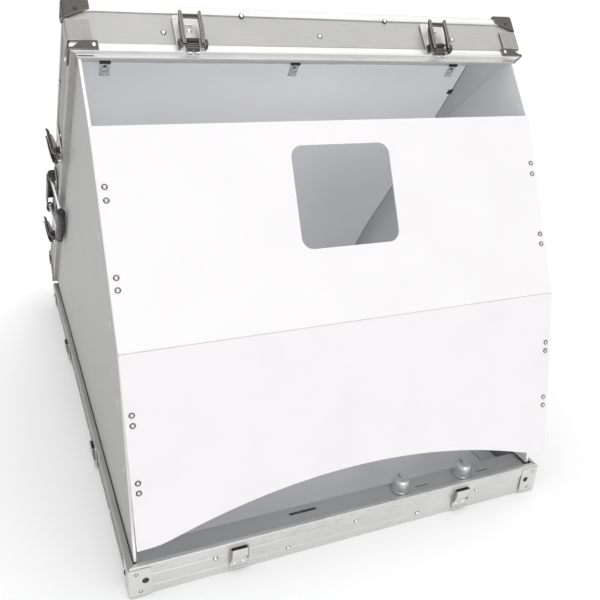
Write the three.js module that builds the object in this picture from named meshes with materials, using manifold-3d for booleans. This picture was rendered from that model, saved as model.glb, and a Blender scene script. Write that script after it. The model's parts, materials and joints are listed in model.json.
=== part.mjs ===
// Portable photo light box: an aluminium carrying case that opens into a small white studio.
// Millimetres, +Z up. The origin is the centre of the base's underside, -Y is the front.

import * as THREE from 'three';
import { mergeVertices } from 'three/addons/utils/BufferGeometryUtils.js';
import Module from 'manifold-3d';

const wasm = await Module();
wasm.setup();

// ---- driving dimensions ----

const CASE_WIDTH = 450;
const CASE_DEPTH = 656;
const BASE_HEIGHT = 34;
const LID_HEIGHT = 46;
const LID_ANGLE = THREE.MathUtils.degToRad(38.9);
const HINGE_SETBACK = 4;
const CLOSED_GAP = 0.5;
const GAP = 0.3;

const WALL = 4;
const BEAD = 4.8;
const RIM = 7.6;
const LEDGE_DROP = 2.5;
const TONGUE_OUTSIDE = BEAD + 0.3;
const TONGUE_DROP = LEDGE_DROP + CLOSED_GAP - 0.3;
const FACE_RECESS = 0.7;

const SIDE_PANEL_THICKNESS = 2.6;
const SIDE_PANEL_INSET = 6;
const FRONT_PANEL_WIDTH = 432;
const FRONT_PANEL_THICKNESS = 2;
const FOLD = { y: -301, z: 232.7 };
const FRONT_TOP = { y: -218.2, z: 396 };
const FRONT_BOTTOM = { y: -339.7, z: 63 };
const WINDOW_WIDTH = 99;
const WINDOW_HEIGHT = 93;
const WINDOW_RADIUS = 11;
const WINDOW_ABOVE_FOLD = 115;
const ARCH_CHORD = 396;
const ARCH_RISE = 33;

const SHEET_EDGES = [-212, 198];
const SHEET_THICKNESS = 0.8;

const KNOB_DIAMETER = 18;
const KNOB_HEIGHT = 15;
const KNOB_X = [60, 137.5];
const KNOB_Y = -309.4;
const CONTROL_TOP = 29;
const CONTROL_BACK = -296;

const LATCH_SPACING_FRONT = 248;
const LATCH_SPACING_SIDE = 253;
const SIDE_LATCHES_FORWARD = 2;
const LATCH_REST_ANGLE = THREE.MathUtils.degToRad(5);
const HANDLE_SPAN = 84;
const HANDLE_BEHIND_MIDDLE = 21;

const HALF_WIDTH = CASE_WIDTH / 2;
const HALF_DEPTH = CASE_DEPTH / 2;
const HINGE_Y = HALF_DEPTH + HINGE_SETBACK;
const HINGE_Z = BASE_HEIGHT + CLOSED_GAP;

// ---- finishes ----

const FINISH = {
  aluminium: [0xc9c9c7, 0.35, 0.9],
  brightAluminium: [0xdcdcda, 0.2, 1.0],
  whiteBoard: [0xf3f3f4, 0.55, 0.0],
  greyBoard: [0xb9bcbc, 0.6, 0.0],
  darkNickel: [0x3a3836, 0.35, 0.9],
  chrome: [0xd9d9db, 0.12, 1.0],
  darkTextured: [0x4b4947, 0.6, 0.4],
  blackPlastic: [0x111111, 0.5, 0.0],
  greyPaint: [0xa4a6a6, 0.5, 0.2],
  circuit: [0x2c5a3a, 0.6, 0.0],
};

function finish(name) {
  const [color, roughness, metalness] = FINISH[name];
  return new THREE.MeshStandardMaterial({ color, roughness, metalness });
}

function named(name, geometry, finishName) {
  const mesh = new THREE.Mesh(geometry, finish(finishName));
  mesh.name = name;
  return mesh;
}

// ---- solid helpers ----

function toSolid(geometry) {
  const bare = geometry.clone();
  bare.deleteAttribute('normal');
  bare.deleteAttribute('uv');
  const merged = mergeVertices(bare, 1e-4);
  const vertProperties = new Float32Array(merged.attributes.position.array);
  const triVerts = new Uint32Array(merged.index.array);
  return new wasm.Manifold(new wasm.Mesh({ numProp: 3, vertProperties, triVerts }));
}

function toGeometry(solid) {
  const mesh = solid.getMesh();
  const geometry = new THREE.BufferGeometry();
  geometry.setAttribute('position', new THREE.BufferAttribute(mesh.vertProperties, 3));
  geometry.setIndex(new THREE.BufferAttribute(mesh.triVerts, 1));
  return geometry;
}

function join(...geometries) {
  const solids = geometries.map(toSolid);
  return toGeometry(solids.reduce((whole, piece) => whole.add(piece)));
}

function cut(geometry, ...tools) {
  const start = toSolid(geometry);
  return toGeometry(tools.map(toSolid).reduce((whole, tool) => whole.subtract(tool), start));
}

function block([x0, x1], [y0, y1], [z0, z1]) {
  const box = new THREE.BoxGeometry(x1 - x0, y1 - y0, z1 - z0);
  return box.translate((x0 + x1) / 2, (y0 + y1) / 2, (z0 + z1) / 2);
}

// A cylinder along X, centred at (y, z).
function rod(radius, [x0, x1], y, z, sides = 24) {
  const cylinder = new THREE.CylinderGeometry(radius, radius, x1 - x0, sides);
  return cylinder.rotateZ(Math.PI / 2).translate((x0 + x1) / 2, y, z);
}

// A cylinder along Z, centred at (x, y).
function post(radius, [z0, z1], x, y, sides = 24) {
  const cylinder = new THREE.CylinderGeometry(radius, radius, z1 - z0, sides);
  return cylinder.rotateX(Math.PI / 2).translate(x, y, (z0 + z1) / 2);
}

// A prism along X whose section is given as [y, z] points.
function prismAlongX(section, [x0, x1]) {
  const shape = new THREE.Shape(section.map(([y, z]) => new THREE.Vector2(y, z)));
  const geometry = new THREE.ExtrudeGeometry(shape, { depth: x1 - x0, bevelEnabled: false });
  const turn = new THREE.Matrix4().makeBasis(
    new THREE.Vector3(0, 1, 0),
    new THREE.Vector3(0, 0, 1),
    new THREE.Vector3(1, 0, 0),
  );
  return geometry.applyMatrix4(turn).translate(x0, 0, 0);
}

// Both halves of a piece that is the same left and right of x = 0.
function mirrored(makePiece) {
  return [-1, 1].map(makePiece);
}

// Places a mesh that was drawn for the front wall on another wall of the same frame.
const SIDES = {
  front: { turn: 0, length: CASE_WIDTH, offset: HALF_DEPTH },
  right: { turn: Math.PI / 2, length: CASE_DEPTH, offset: HALF_WIDTH },
  rear: { turn: Math.PI, length: CASE_WIDTH, offset: HALF_DEPTH },
  left: { turn: -Math.PI / 2, length: CASE_DEPTH, offset: HALF_WIDTH },
};

const CORNERS = {
  front_left: { turn: 0, x: -HALF_WIDTH, y: -HALF_DEPTH },
  front_right: { turn: Math.PI / 2, x: HALF_WIDTH, y: -HALF_DEPTH },
  rear_right: { turn: Math.PI, x: HALF_WIDTH, y: HALF_DEPTH },
  rear_left: { turn: -Math.PI / 2, x: -HALF_WIDTH, y: HALF_DEPTH },
};

// ---- case frames ----

// A rail with mitred ends. The section is in [inward, up] points, its outer face at inward = 0.
function mitredRail(section, side) {
  const { turn, length, offset } = SIDES[side];
  const shape = new THREE.Shape(section.map(([n, h]) => new THREE.Vector2(n, h)));
  const geometry = new THREE.ExtrudeGeometry(shape, { depth: 2, bevelEnabled: false });
  const position = geometry.attributes.position;
  const mitreGap = GAP / 2;
  for (let i = 0; i < position.count; i += 1) {
    const inward = position.getX(i);
    const up = position.getY(i);
    const end = position.getZ(i) - 1;
    position.setXYZ(i, end * (length / 2 - inward - mitreGap), inward, up);
  }
  geometry.deleteAttribute('normal');
  return geometry.translate(0, -offset, 0).rotateZ(turn);
}

function baseRailSection() {
  const ledge = BASE_HEIGHT - LEDGE_DROP;
  const bandFoot = 22;
  return [
    [FACE_RECESS, 0],
    [WALL, 0],
    [WALL, ledge - 6],
    [RIM, ledge - 3],
    [RIM, ledge],
    [BEAD, ledge],
    [BEAD, BASE_HEIGHT],
    [0.8, BASE_HEIGHT],
    [0, BASE_HEIGHT - 0.8],
    [0, bandFoot],
    [FACE_RECESS, bandFoot - 0.8],
    [FACE_RECESS, 9.6],
    [FACE_RECESS + 0.5, 9],
    [FACE_RECESS, 8.4],
  ];
}

function lidRailSection() {
  const flange = 12;
  const flangeThickness = 2.6;
  const lowerBand = 7.2;
  const upperBand = LID_HEIGHT - 9.1;
  return [
    [0.8, 0],
    [TONGUE_OUTSIDE, 0],
    [TONGUE_OUTSIDE, -TONGUE_DROP],
    [RIM, -TONGUE_DROP],
    [RIM, 3],
    [WALL, 6],
    [WALL, LID_HEIGHT - flangeThickness],
    [flange, LID_HEIGHT - flangeThickness],
    [flange, LID_HEIGHT],
    [3, LID_HEIGHT],
    [0.9, LID_HEIGHT - 0.9],
    [0, LID_HEIGHT - 3],
    [0, upperBand],
    [FACE_RECESS, upperBand - 0.8],
    [FACE_RECESS, lowerBand + 0.8],
    [0, lowerBand],
    [0, 0.8],
  ];
}

function powerInletHole() {
  return rod(4.6, [HALF_WIDTH - 10, HALF_WIDTH + 2], -305, 14);
}

function baseRails() {
  return Object.keys(SIDES).map((side) => {
    const rail = mitredRail(baseRailSection(), side);
    const geometry = side === 'right' ? cut(rail, powerInletHole()) : rail;
    return named(`base_rail_${side}`, geometry, 'aluminium');
  });
}

// An angle plate round a vertical corner, drawn for the front left corner.
function anglePlate(reach, thickness, [z0, z1]) {
  const outer = block([-GAP - thickness, reach], [-GAP - thickness, reach], [z0, z1]);
  const inner = block([-GAP, reach + 1], [-GAP, reach + 1], [z0 - 1, z1 + 1]);
  return cut(outer, inner);
}

function atCorner(geometry, corner) {
  const { turn, x, y } = CORNERS[corner];
  return geometry.rotateZ(turn).translate(x, y, 0);
}

function baseCorners() {
  return Object.keys(CORNERS).map((corner) => {
    const plate = anglePlate(20, 1, [1.2, 32]);
    return named(`base_corner_${corner}`, atCorner(plate, corner), 'brightAluminium');
  });
}

function lidCorners() {
  return Object.keys(CORNERS).map((corner) => {
    const plate = anglePlate(19, 0.9, [8.8, 28.5]);
    const rimCap = anglePlate(23, 1.5, [0.4, 9]);
    return named(`lid_corner_${corner}`, atCorner(join(plate, rimCap), corner), 'darkTextured');
  });
}

// A three-sided cap over an upper corner of the lid, its flaps cut to a long slant.
function lidProtectors() {
  const reach = 20.5;
  const thickness = 1.6;
  const foot = 28;
  const slantFoot = 30.3;
  const slant = 0.45;
  return Object.keys(CORNERS).map((corner) => {
    const span = [-GAP - thickness, reach];
    const inside = [-GAP, reach + 1];
    const cap = cut(
      block(span, span, [foot, LID_HEIGHT + GAP + thickness]),
      block(inside, inside, [foot - 1, LID_HEIGHT + GAP]),
    );
    const normal = new THREE.Vector3(-slant, -slant, 1);
    const length = normal.length();
    const trimmed = toSolid(cap).trimByPlane(normal.divideScalar(length).toArray(), slantFoot / length);
    return named(`lid_protector_${corner}`, atCorner(toGeometry(trimmed), corner), 'darkTextured');
  });
}

function baseFloor() {
  const inset = WALL + GAP;
  const spanX = [-HALF_WIDTH + inset, HALF_WIDTH - inset];
  const spanY = [-HALF_DEPTH + inset, HALF_DEPTH - inset];
  return named('base_floor', block(spanX, spanY, [0, 2.5]), 'aluminium');
}

function lidPanel() {
  const inset = WALL + GAP;
  const top = LID_HEIGHT - 2.6 - GAP;
  const spanX = [-HALF_WIDTH + inset, HALF_WIDTH - inset];
  const spanY = [-HALF_DEPTH + inset, HALF_DEPTH - inset];
  return named('lid_panel', block(spanX, spanY, [top - 2.5, top]), 'aluminium');
}

function lidRails() {
  return Object.keys(SIDES).map((side) =>
    named(`lid_rail_${side}`, mitredRail(lidRailSection(), side), 'aluminium'));
}

// ---- rear hinge ----

const KNUCKLE_LENGTH = 54;
const KNUCKLE_COUNT = 7;
const KNUCKLE_RADIUS = 3.2;
const HINGE_LENGTH = KNUCKLE_LENGTH * KNUCKLE_COUNT;

// One leaf of the long hinge about the X axis; up is +1 for the lid's leaf and -1 for the base's.
function hingeLeaf(name, up, firstKnuckle) {
  const plateClearance = 3.8;
  const plateHeight = 22;
  const plateDepth = [-HINGE_SETBACK + GAP, -HINGE_SETBACK + GAP + 1.2];
  const range = (a, b) => (up > 0 ? [a, b] : [-b, -a]);
  let leaf = block([-HINGE_LENGTH / 2, HINGE_LENGTH / 2], plateDepth, range(plateClearance, plateHeight));
  for (let i = firstKnuckle; i < KNUCKLE_COUNT; i += 2) {
    const x0 = -HINGE_LENGTH / 2 + i * KNUCKLE_LENGTH + GAP;
    const x1 = x0 + KNUCKLE_LENGTH - 2 * GAP;
    const web = block([x0, x1], plateDepth, range(0, plateClearance + 0.5));
    leaf = join(leaf, web, rod(KNUCKLE_RADIUS, [x0, x1], 0, 0));
  }
  const bore = rod(1.3, [-HINGE_LENGTH, HINGE_LENGTH], 0, 0);
  return named(name, cut(leaf, bore), 'aluminium');
}

function hingePin() {
  return named('hinge_pin', rod(1.2, [-HINGE_LENGTH / 2, HINGE_LENGTH / 2], 0, 0, 16), 'chrome');
}

// ---- latches ----

// A latch is drawn on a front wall: u = x, outward = -y, h = z from the rim.
const LATCH_PIVOT = { out: 6, h: 4.2 };
const CLAW_PIVOT = { out: 4.4, h: 8.4 };

function latchPlate() {
  const plate = block([-13.2, 13.2], [-1.5, -GAP], [3, 35]);
  const cheeks = mirrored((sign) => {
    const [a, b] = sign > 0 ? [10.9, 12.3] : [-12.3, -10.9];
    return block([a, b], [-9, -1.4], [0.6, 9.6]);
  });
  const bore = rod(1.4, [-14, 14], -LATCH_PIVOT.out, LATCH_PIVOT.h);
  return cut(join(plate, ...cheeks), bore);
}

// The lever in its closed position, flat along the wall; its pivot is at the origin.
function latchLever() {
  const face = cut(
    block([-10.4, 10.4], [-3.4, -1.6], [-1, 25.5]),
    block([-6.4, 6.4], [-5, 0], [-2, 21.5]),
  );
  const flanges = mirrored((sign) => {
    const [a, b] = sign > 0 ? [8.8, 10.4] : [-10.4, -8.8];
    return block([a, b], [-2, 2.6], [-3.2, 22.5]);
  });
  const horns = mirrored((sign) => {
    const [a, b] = sign > 0 ? [6.6, 10.4] : [-10.4, -6.6];
    return block([a, b], [-4.4, -1.7], [23.5, 28]);
  });
  const trunnions = mirrored((sign) => {
    const [a, b] = sign > 0 ? [9, 12.1] : [-12.1, -9];
    return rod(1.3, [a, b], 0, 0, 16);
  });
  const clawBore = rod(1.2, [-14, 14], LATCH_PIVOT.out - CLAW_PIVOT.out, CLAW_PIVOT.h - LATCH_PIVOT.h);
  return cut(join(face, ...flanges, ...horns, ...trunnions), clawBore);
}

// The claw hangs from its own pivot at the origin and hooks inwards at its foot.
function latchClaw() {
  const strip = block([-5.6, 5.6], [0.6, 1.8], [-11, 0.6]);
  const curl = rod(1.8, [-5.6, 5.6], 0, 0, 16);
  const pin = rod(1.1, [-10, 10], 0, 0, 16);
  const hook = block([-5.6, 5.6], [0.7, 3.9], [-12, -10.6]);
  return join(strip, curl, pin, hook);
}

function latch(label, x) {
  const group = new THREE.Group();
  const pivot = new THREE.Group();
  pivot.position.set(0, -LATCH_PIVOT.out, LATCH_PIVOT.h);
  pivot.rotation.x = LATCH_REST_ANGLE;
  const clawPivot = new THREE.Group();
  clawPivot.position.set(0, LATCH_PIVOT.out - CLAW_PIVOT.out, CLAW_PIVOT.h - LATCH_PIVOT.h);
  clawPivot.rotation.x = -LATCH_REST_ANGLE;
  group.add(named(`latch_plate_${label}`, latchPlate(), 'chrome'));
  pivot.add(named(`latch_lever_${label}`, latchLever(), 'darkNickel'));
  clawPivot.add(named(`latch_claw_${label}`, latchClaw(), 'darkNickel'));
  pivot.add(clawPivot);
  group.add(pivot);
  group.position.x = x;
  return group;
}

// A catch plate on the base, drawn on a front wall with z from the case's underside.
function striker() {
  const plate = block([-9, 9], [-1.4, -GAP], [4, 30]);
  const arms = mirrored((sign) => {
    const [a, b] = sign > 0 ? [7.4, 9] : [-9, -7.4];
    return block([a, b], [-4.4, -1.3], [16, 29]);
  });
  const lip = block([-9, 9], [-5.6, -4.2], [22, 29]);
  const foot = block([-9, 9], [-2.6, -1.3], [4, 6]);
  return join(plate, ...arms, lip, foot);
}

// Turns a group drawn on the front wall so that it sits on the given wall.
function onWall(side, along) {
  const { turn, offset } = SIDES[side];
  const wall = new THREE.Group();
  const place = new THREE.Group();
  place.position.set(along, -offset, 0);
  wall.rotation.z = turn;
  wall.add(place);
  return { wall, place };
}

const LATCH_SITES = [
  { label: 'front_left', side: 'front', along: -LATCH_SPACING_FRONT / 2 },
  { label: 'front_right', side: 'front', along: LATCH_SPACING_FRONT / 2 },
  { label: 'side_front', side: 'left', along: LATCH_SPACING_SIDE / 2 + SIDE_LATCHES_FORWARD },
  { label: 'side_rear', side: 'left', along: -LATCH_SPACING_SIDE / 2 + SIDE_LATCHES_FORWARD },
];

function strikers() {
  return LATCH_SITES.map(({ label, side, along }) => {
    const { wall, place } = onWall(side, along);
    place.add(named(`striker_${label}`, striker(), 'chrome'));
    return wall;
  });
}

function latches() {
  return LATCH_SITES.map(({ label, side, along }) => {
    const { wall, place } = onWall(side, along);
    place.add(latch(label, 0));
    return wall;
  });
}

// ---- carrying handle ----

const HANDLE_PIVOT = { out: 6, h: 27 };
const HANDLE_REACH = 46;
const HANDLE_REST_LEAN = THREE.MathUtils.degToRad(7);

// The bracket: a plate, a stiffening channel between the lugs, and two lugs that carry the pins.
function handlePlate() {
  const half = HANDLE_SPAN / 2 + 13;
  const channelHalf = HANDLE_SPAN / 2 - 6;
  const plate = block([-half, half], [-1.8, -GAP], [15, 37]);
  const shelf = block([-channelHalf, channelHalf], [-10.6, -1.7], [34.6, 36]);
  const lip = block([-channelHalf, channelHalf], [-10.6, -9.2], [22, 35]);
  const lugs = mirrored((sign) => {
    const inner = sign * (HANDLE_SPAN / 2 + 5.2);
    const outer = sign * (half - 0.5);
    const span = sign > 0 ? [inner, outer] : [outer, inner];
    return block(span, [-10.2, -1.7], [22, 32]);
  });
  const bore = rod(2.5, [-half - 1, half + 1], -HANDLE_PIVOT.out, HANDLE_PIVOT.h);
  return join(plate, shelf, lip, ...lugs.map((lug) => cut(lug, bore)));
}

// The handle in its hanging position, its pivot axis through the origin.
function handleGrip() {
  const arms = mirrored((sign) => {
    const centre = (sign * HANDLE_SPAN) / 2;
    return block([centre - 3, centre + 3], [-2.4, 2.4], [-HANDLE_REACH, 3]);
  });
  const pins = mirrored((sign) => {
    const inner = sign * (HANDLE_SPAN / 2 - 2.5);
    const outer = sign * (HANDLE_SPAN / 2 + 11);
    return rod(2.4, sign > 0 ? [inner, outer] : [outer, inner], 0, 0);
  });
  const section = Array.from({ length: 24 }, (_, i) => {
    const angle = (i * Math.PI) / 12;
    return [4.8 * Math.cos(angle), -HANDLE_REACH + 6.2 * Math.sin(angle)];
  });
  const half = HANDLE_SPAN / 2 + 5;
  return join(prismAlongX(section, [-half, half]), ...arms, ...pins);
}

function handle() {
  const { wall, place } = onWall('left', -HANDLE_BEHIND_MIDDLE);
  const grip = named('handle_grip', handleGrip(), 'blackPlastic');
  grip.position.set(0, -HANDLE_PIVOT.out, HANDLE_PIVOT.h);
  grip.rotation.x = HANDLE_REST_LEAN;
  place.add(named('handle_plate', handlePlate(), 'brightAluminium'), grip);
  return wall;
}

// ---- panels of the enclosure ----

function lidLocalToWorld(s, h) {
  return [
    HINGE_Y - s * Math.cos(LID_ANGLE) + h * Math.sin(LID_ANGLE),
    HINGE_Z + s * Math.sin(LID_ANGLE) + h * Math.cos(LID_ANGLE),
  ];
}

function sidePanels() {
  const foot = BASE_HEIGHT - LEDGE_DROP + GAP;
  const behindFront = FRONT_PANEL_THICKNESS + 0.6;
  const underTongue = -TONGUE_DROP - GAP;
  const backY = HALF_DEPTH - RIM - 3;
  const backS = (HINGE_Y + underTongue * Math.sin(LID_ANGLE) - backY) / Math.cos(LID_ANGLE);
  const frontS = CASE_DEPTH + HINGE_SETBACK - RIM + 2;
  const outline = [
    [-HALF_DEPTH + RIM + 1, foot],
    [backY, foot],
    lidLocalToWorld(backS, underTongue),
    lidLocalToWorld(frontS, underTongue),
    [FRONT_TOP.y + behindFront, FRONT_TOP.z],
    [FOLD.y + behindFront, FOLD.z],
  ];
  const outer = HALF_WIDTH - SIDE_PANEL_INSET;
  const inner = outer - SIDE_PANEL_THICKNESS;
  return [
    named('side_panel_left', prismAlongX(outline, [-outer, -inner]), 'greyBoard'),
    named('side_panel_right', prismAlongX(outline, [inner, outer]), 'greyBoard'),
  ];
}

// A flat board drawn in x and the distance from the fold, its front face at z = 0.
function board(shape) {
  const geometry = new THREE.ExtrudeGeometry(shape, {
    depth: FRONT_PANEL_THICKNESS,
    bevelEnabled: false,
    curveSegments: 16,
  });
  return geometry.translate(0, 0, -FRONT_PANEL_THICKNESS);
}

// Angle tabs behind the board's edges, which tuck inside the side panels.
function tabs(distances, sign) {
  const side = FRONT_PANEL_WIDTH / 2 - 0.7;
  return distances.flatMap((distance) => mirrored((hand) => {
    const plateX = hand > 0 ? [side - 8, side] : [-side, -side + 8];
    const legX = hand > 0 ? [side - 1.5, side] : [-side, -side + 1.5];
    const alongY = [sign * distance - 9, sign * distance + 9];
    const back = -FRONT_PANEL_THICKNESS;
    return join(
      block(plateX, alongY, [back - 1.4, back + 0.2]),
      block(legX, alongY, [back - 15, back + 0.2]),
    );
  }));
}

function roundedWindow() {
  const half = WINDOW_WIDTH / 2 - WINDOW_RADIUS;
  const rise = WINDOW_HEIGHT / 2 - WINDOW_RADIUS;
  const hole = new THREE.Path();
  hole.absarc(half, WINDOW_ABOVE_FOLD + rise, WINDOW_RADIUS, 0, Math.PI / 2);
  hole.absarc(-half, WINDOW_ABOVE_FOLD + rise, WINDOW_RADIUS, Math.PI / 2, Math.PI);
  hole.absarc(-half, WINDOW_ABOVE_FOLD - rise, WINDOW_RADIUS, Math.PI, Math.PI * 1.5);
  hole.absarc(half, WINDOW_ABOVE_FOLD - rise, WINDOW_RADIUS, Math.PI * 1.5, Math.PI * 2);
  return hole;
}

function foldDistance(point) {
  return Math.hypot(point.y - FOLD.y, point.z - FOLD.z);
}

function upperBoard() {
  const half = FRONT_PANEL_WIDTH / 2;
  const length = foldDistance(FRONT_TOP);
  const shape = new THREE.Shape();
  shape.moveTo(-half, 0.6);
  shape.lineTo(half, 0.6);
  shape.lineTo(half, length);
  shape.lineTo(-half, length);
  shape.holes.push(roundedWindow());
  return join(board(shape), ...tabs([59, 131], 1));
}

// The lower board ends in a wide shallow arch between two flat feet.
function lowerBoard() {
  const half = FRONT_PANEL_WIDTH / 2;
  const length = foldDistance(FRONT_BOTTOM);
  const radius = (ARCH_CHORD ** 2 / 4 + ARCH_RISE ** 2) / (2 * ARCH_RISE);
  const centreY = -length + ARCH_RISE - radius;
  const halfAngle = Math.asin(ARCH_CHORD / 2 / radius);
  const shape = new THREE.Shape();
  shape.moveTo(-half, -0.4);
  shape.lineTo(-half, -length);
  shape.lineTo(-ARCH_CHORD / 2, -length);
  shape.absarc(0, centreY, radius, Math.PI / 2 + halfAngle, Math.PI / 2 - halfAngle, true);
  shape.lineTo(half, -length);
  shape.lineTo(half, -0.4);
  return join(board(shape), ...tabs([54, 116], -1));
}

// Stands a board in the plane that leans from the fold through the given point.
function leaning(mesh, low, high) {
  const lean = Math.atan2(high.y - low.y, high.z - low.z);
  mesh.rotation.x = Math.PI / 2 - lean;
  mesh.position.set(0, FOLD.y, FOLD.z);
  return mesh;
}

function frontPanels() {
  return [
    leaning(named('front_panel_upper', upperBoard(), 'whiteBoard'), FOLD, FRONT_TOP),
    leaning(named('front_panel_lower', lowerBoard(), 'whiteBoard'), FRONT_BOTTOM, FOLD),
  ];
}

// The sheet hangs from the lid, sweeps backwards and rolls forwards along the floor.
function backgroundSheet() {
  const floor = 3.5;
  const points = [
    [-127, 434],
    [-82, 372],
    [-30, 301],
    [22, 235],
    [66, 179],
    [98, 126],
    [110, 82],
    [97, 38],
    [58, 12],
    [0, floor + 1],
    [-80, floor],
    [-190, floor],
    [-292, floor],
  ].map(([y, z]) => new THREE.Vector3(0, y, z));
  const path = new THREE.CatmullRomCurve3(points).getSpacedPoints(48);
  const half = SHEET_THICKNESS / 2;
  const offset = (sign) => path.map((point, i) => {
    const before = path[Math.max(i - 1, 0)];
    const after = path[Math.min(i + 1, path.length - 1)];
    const along = after.clone().sub(before).normalize();
    return [point.y + sign * half * along.z, point.z - sign * half * along.y];
  });
  const outline = [...offset(1), ...offset(-1).reverse()];
  const section = prismAlongX(outline, SHEET_EDGES);
  return named('background_sheet', section, 'whiteBoard');
}

// ---- fittings inside the lid ----

// The sheet's upper end as seen from the lid: distance forwards of the hinge and depth in the lid.
const SHEET_END = { s: 607.9, h: 22.6 };
const SHEET_SLOPE = Math.atan(0.236);

function sheetClip(name, x) {
  const tongue = 14.6;
  const section = [
    [-14, -1.9],
    [2.4, -1.9],
    [2.4, 1.9],
    [-3, 1.9],
    [-3, tongue],
    [-4.4, tongue],
    [-4.4, 1.9],
    [-14, 1.9],
    [-14, 0.9],
    [1.2, 0.9],
    [1.2, -0.9],
    [-14, -0.9],
  ].map(([along, away]) => [
    -SHEET_END.s - along * Math.cos(SHEET_SLOPE) + away * Math.sin(SHEET_SLOPE),
    SHEET_END.h + along * Math.sin(SHEET_SLOPE) + away * Math.cos(SHEET_SLOPE),
  ]);
  return named(name, prismAlongX(section, [x - 4.5, x + 4.5]), 'chrome');
}

function sheetClips() {
  return [
    sheetClip('sheet_clip_left', -190),
    sheetClip('sheet_clip_middle', -6),
    sheetClip('sheet_clip_right', 180),
  ];
}

// A small black clip that pinches the sheet's right edge below the lid's rim.
function sheetEdgeClip() {
  const edge = SHEET_EDGES[1];
  const outer = block([edge - 5, edge + 2], [-3, 3], [-2.2, 2.2]);
  const slot = block([edge - 6, edge + GAP], [-4, 4], [-0.9, 0.9]);
  const mesh = named('sheet_edge_clip', cut(outer, slot), 'blackPlastic');
  mesh.position.set(0, -105, 404);
  mesh.rotation.x = Math.atan2(-71, 52);
  return mesh;
}

function ledBar() {
  const half = 200;
  const channel = cut(
    block([-half, half], [-655.6, -641], [24, 38]),
    block([-half - 1, half + 1], [-654.2, -642.4], [22, 30]),
  );
  return named('led_bar', channel, 'brightAluminium');
}

// ---- control panel and electrics in the base ----

function controlPanel() {
  const half = HALF_WIDTH - RIM - GAP;
  const front = -HALF_DEPTH + RIM + GAP;
  const thickness = 1.5;
  const top = block([-half, half], [front, CONTROL_BACK], [CONTROL_TOP - thickness, CONTROL_TOP]);
  const skirt = block([-half, half], [CONTROL_BACK - thickness, CONTROL_BACK], [3, CONTROL_TOP - 0.1]);
  const holes = KNOB_X.map((x) => post(3.8, [20, 35], x, KNOB_Y));
  return named('control_panel', cut(join(top, skirt), ...holes), 'greyPaint');
}

function dimmerPot(name, x) {
  const body = post(8, [12, 22], x, KNOB_Y);
  const terminals = block([x - 6, x + 6], [KNOB_Y - 8.6, KNOB_Y - 6.8], [9, 18]);
  const boss = post(3.3, [21, 25.4], x, KNOB_Y);
  const bore = post(1.3, [18, 40], x, KNOB_Y);
  return named(name, cut(join(body, terminals, boss), bore), 'greyPaint');
}

// A knob with a knurled skirt and a shaft that runs down into its potentiometer.
function dimmerKnob(name) {
  const teeth = 24;
  const outline = new THREE.Shape();
  for (let i = 0; i < teeth * 2; i += 1) {
    const angle = (i * Math.PI) / teeth;
    const radius = KNOB_DIAMETER / 2 - (i % 2) * 0.35;
    const point = [radius * Math.cos(angle), radius * Math.sin(angle)];
    if (i === 0) outline.moveTo(...point);
    else outline.lineTo(...point);
  }
  const capHeight = 1.6;
  const skirt = new THREE.ExtrudeGeometry(outline, { depth: KNOB_HEIGHT - capHeight, bevelEnabled: false });
  const capRadii = [KNOB_DIAMETER / 2 - 1.5, KNOB_DIAMETER / 2 - 0.8];
  const cap = new THREE.CylinderGeometry(...capRadii, capHeight + 0.2, 32)
    .rotateX(Math.PI / 2)
    .translate(0, 0, KNOB_HEIGHT - capHeight / 2 - 0.1);
  const shaft = post(1.2, [-9, 1], 0, 0, 16);
  return named(name, join(skirt, cap, shaft), 'chrome');
}

function dimmerKnobs() {
  return KNOB_X.map((x, i) => {
    const knob = dimmerKnob(i === 0 ? 'dimmer_knob_left' : 'dimmer_knob_right');
    knob.position.set(x, KNOB_Y, CONTROL_TOP + 0.6);
    return knob;
  });
}

function ledDriver() {
  const board = block([-150, -40], [-316, -300], [6, 7.6]);
  const capacitor = post(5, [7.4, 21], -130, -308);
  const coil = block([-110, -96], [-314, -302], [7.4, 17]);
  const chip = block([-75, -60], [-312, -304], [7.4, 12]);
  return named('led_driver', join(board, capacitor, coil, chip), 'circuit');
}

function powerInlet() {
  const barrel = rod(4.2, [HALF_WIDTH - 14, HALF_WIDTH - 0.5], -305, 14);
  const body = block([HALF_WIDTH - 24, HALF_WIDTH - 10], [-311, -299], [8, 20]);
  const socket = rod(2.8, [HALF_WIDTH - 12, HALF_WIDTH + 2], -305, 14, 16);
  return named('power_inlet', cut(join(barrel, body), socket), 'blackPlastic');
}

// ---- assembly ----

function base() {
  const group = new THREE.Group();
  group.add(baseFloor(), ...baseRails(), ...baseCorners(), ...strikers());
  group.add(controlPanel(), dimmerPot('dimmer_pot_left', KNOB_X[0]), dimmerPot('dimmer_pot_right', KNOB_X[1]));
  group.add(...dimmerKnobs(), ledDriver(), powerInlet());
  const hinge = new THREE.Group();
  hinge.position.set(0, HINGE_Y, HINGE_Z);
  hinge.add(hingeLeaf('hinge_leaf_base', -1, 0), hingePin());
  group.add(hinge);
  return group;
}

// The lid is drawn closed about the hinge, its rim in the hinge's plane, and then swung open.
function lid() {
  const group = new THREE.Group();
  const shell = new THREE.Group();
  shell.add(lidPanel(), ...lidRails(), ...lidCorners(), ...lidProtectors());
  shell.add(...latches(), handle());
  shell.position.set(0, -HALF_DEPTH - HINGE_SETBACK, 0);
  group.add(shell, hingeLeaf('hinge_leaf_lid', 1, 1), ledBar(), ...sheetClips());
  group.position.set(0, HINGE_Y, HINGE_Z);
  group.rotation.x = -LID_ANGLE;
  return group;
}

const lightBox = new THREE.Group();
lightBox.add(base(), lid(), ...sidePanels(), ...frontPanels(), backgroundSheet(), sheetEdgeClip());

export default lightBox;
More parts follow.
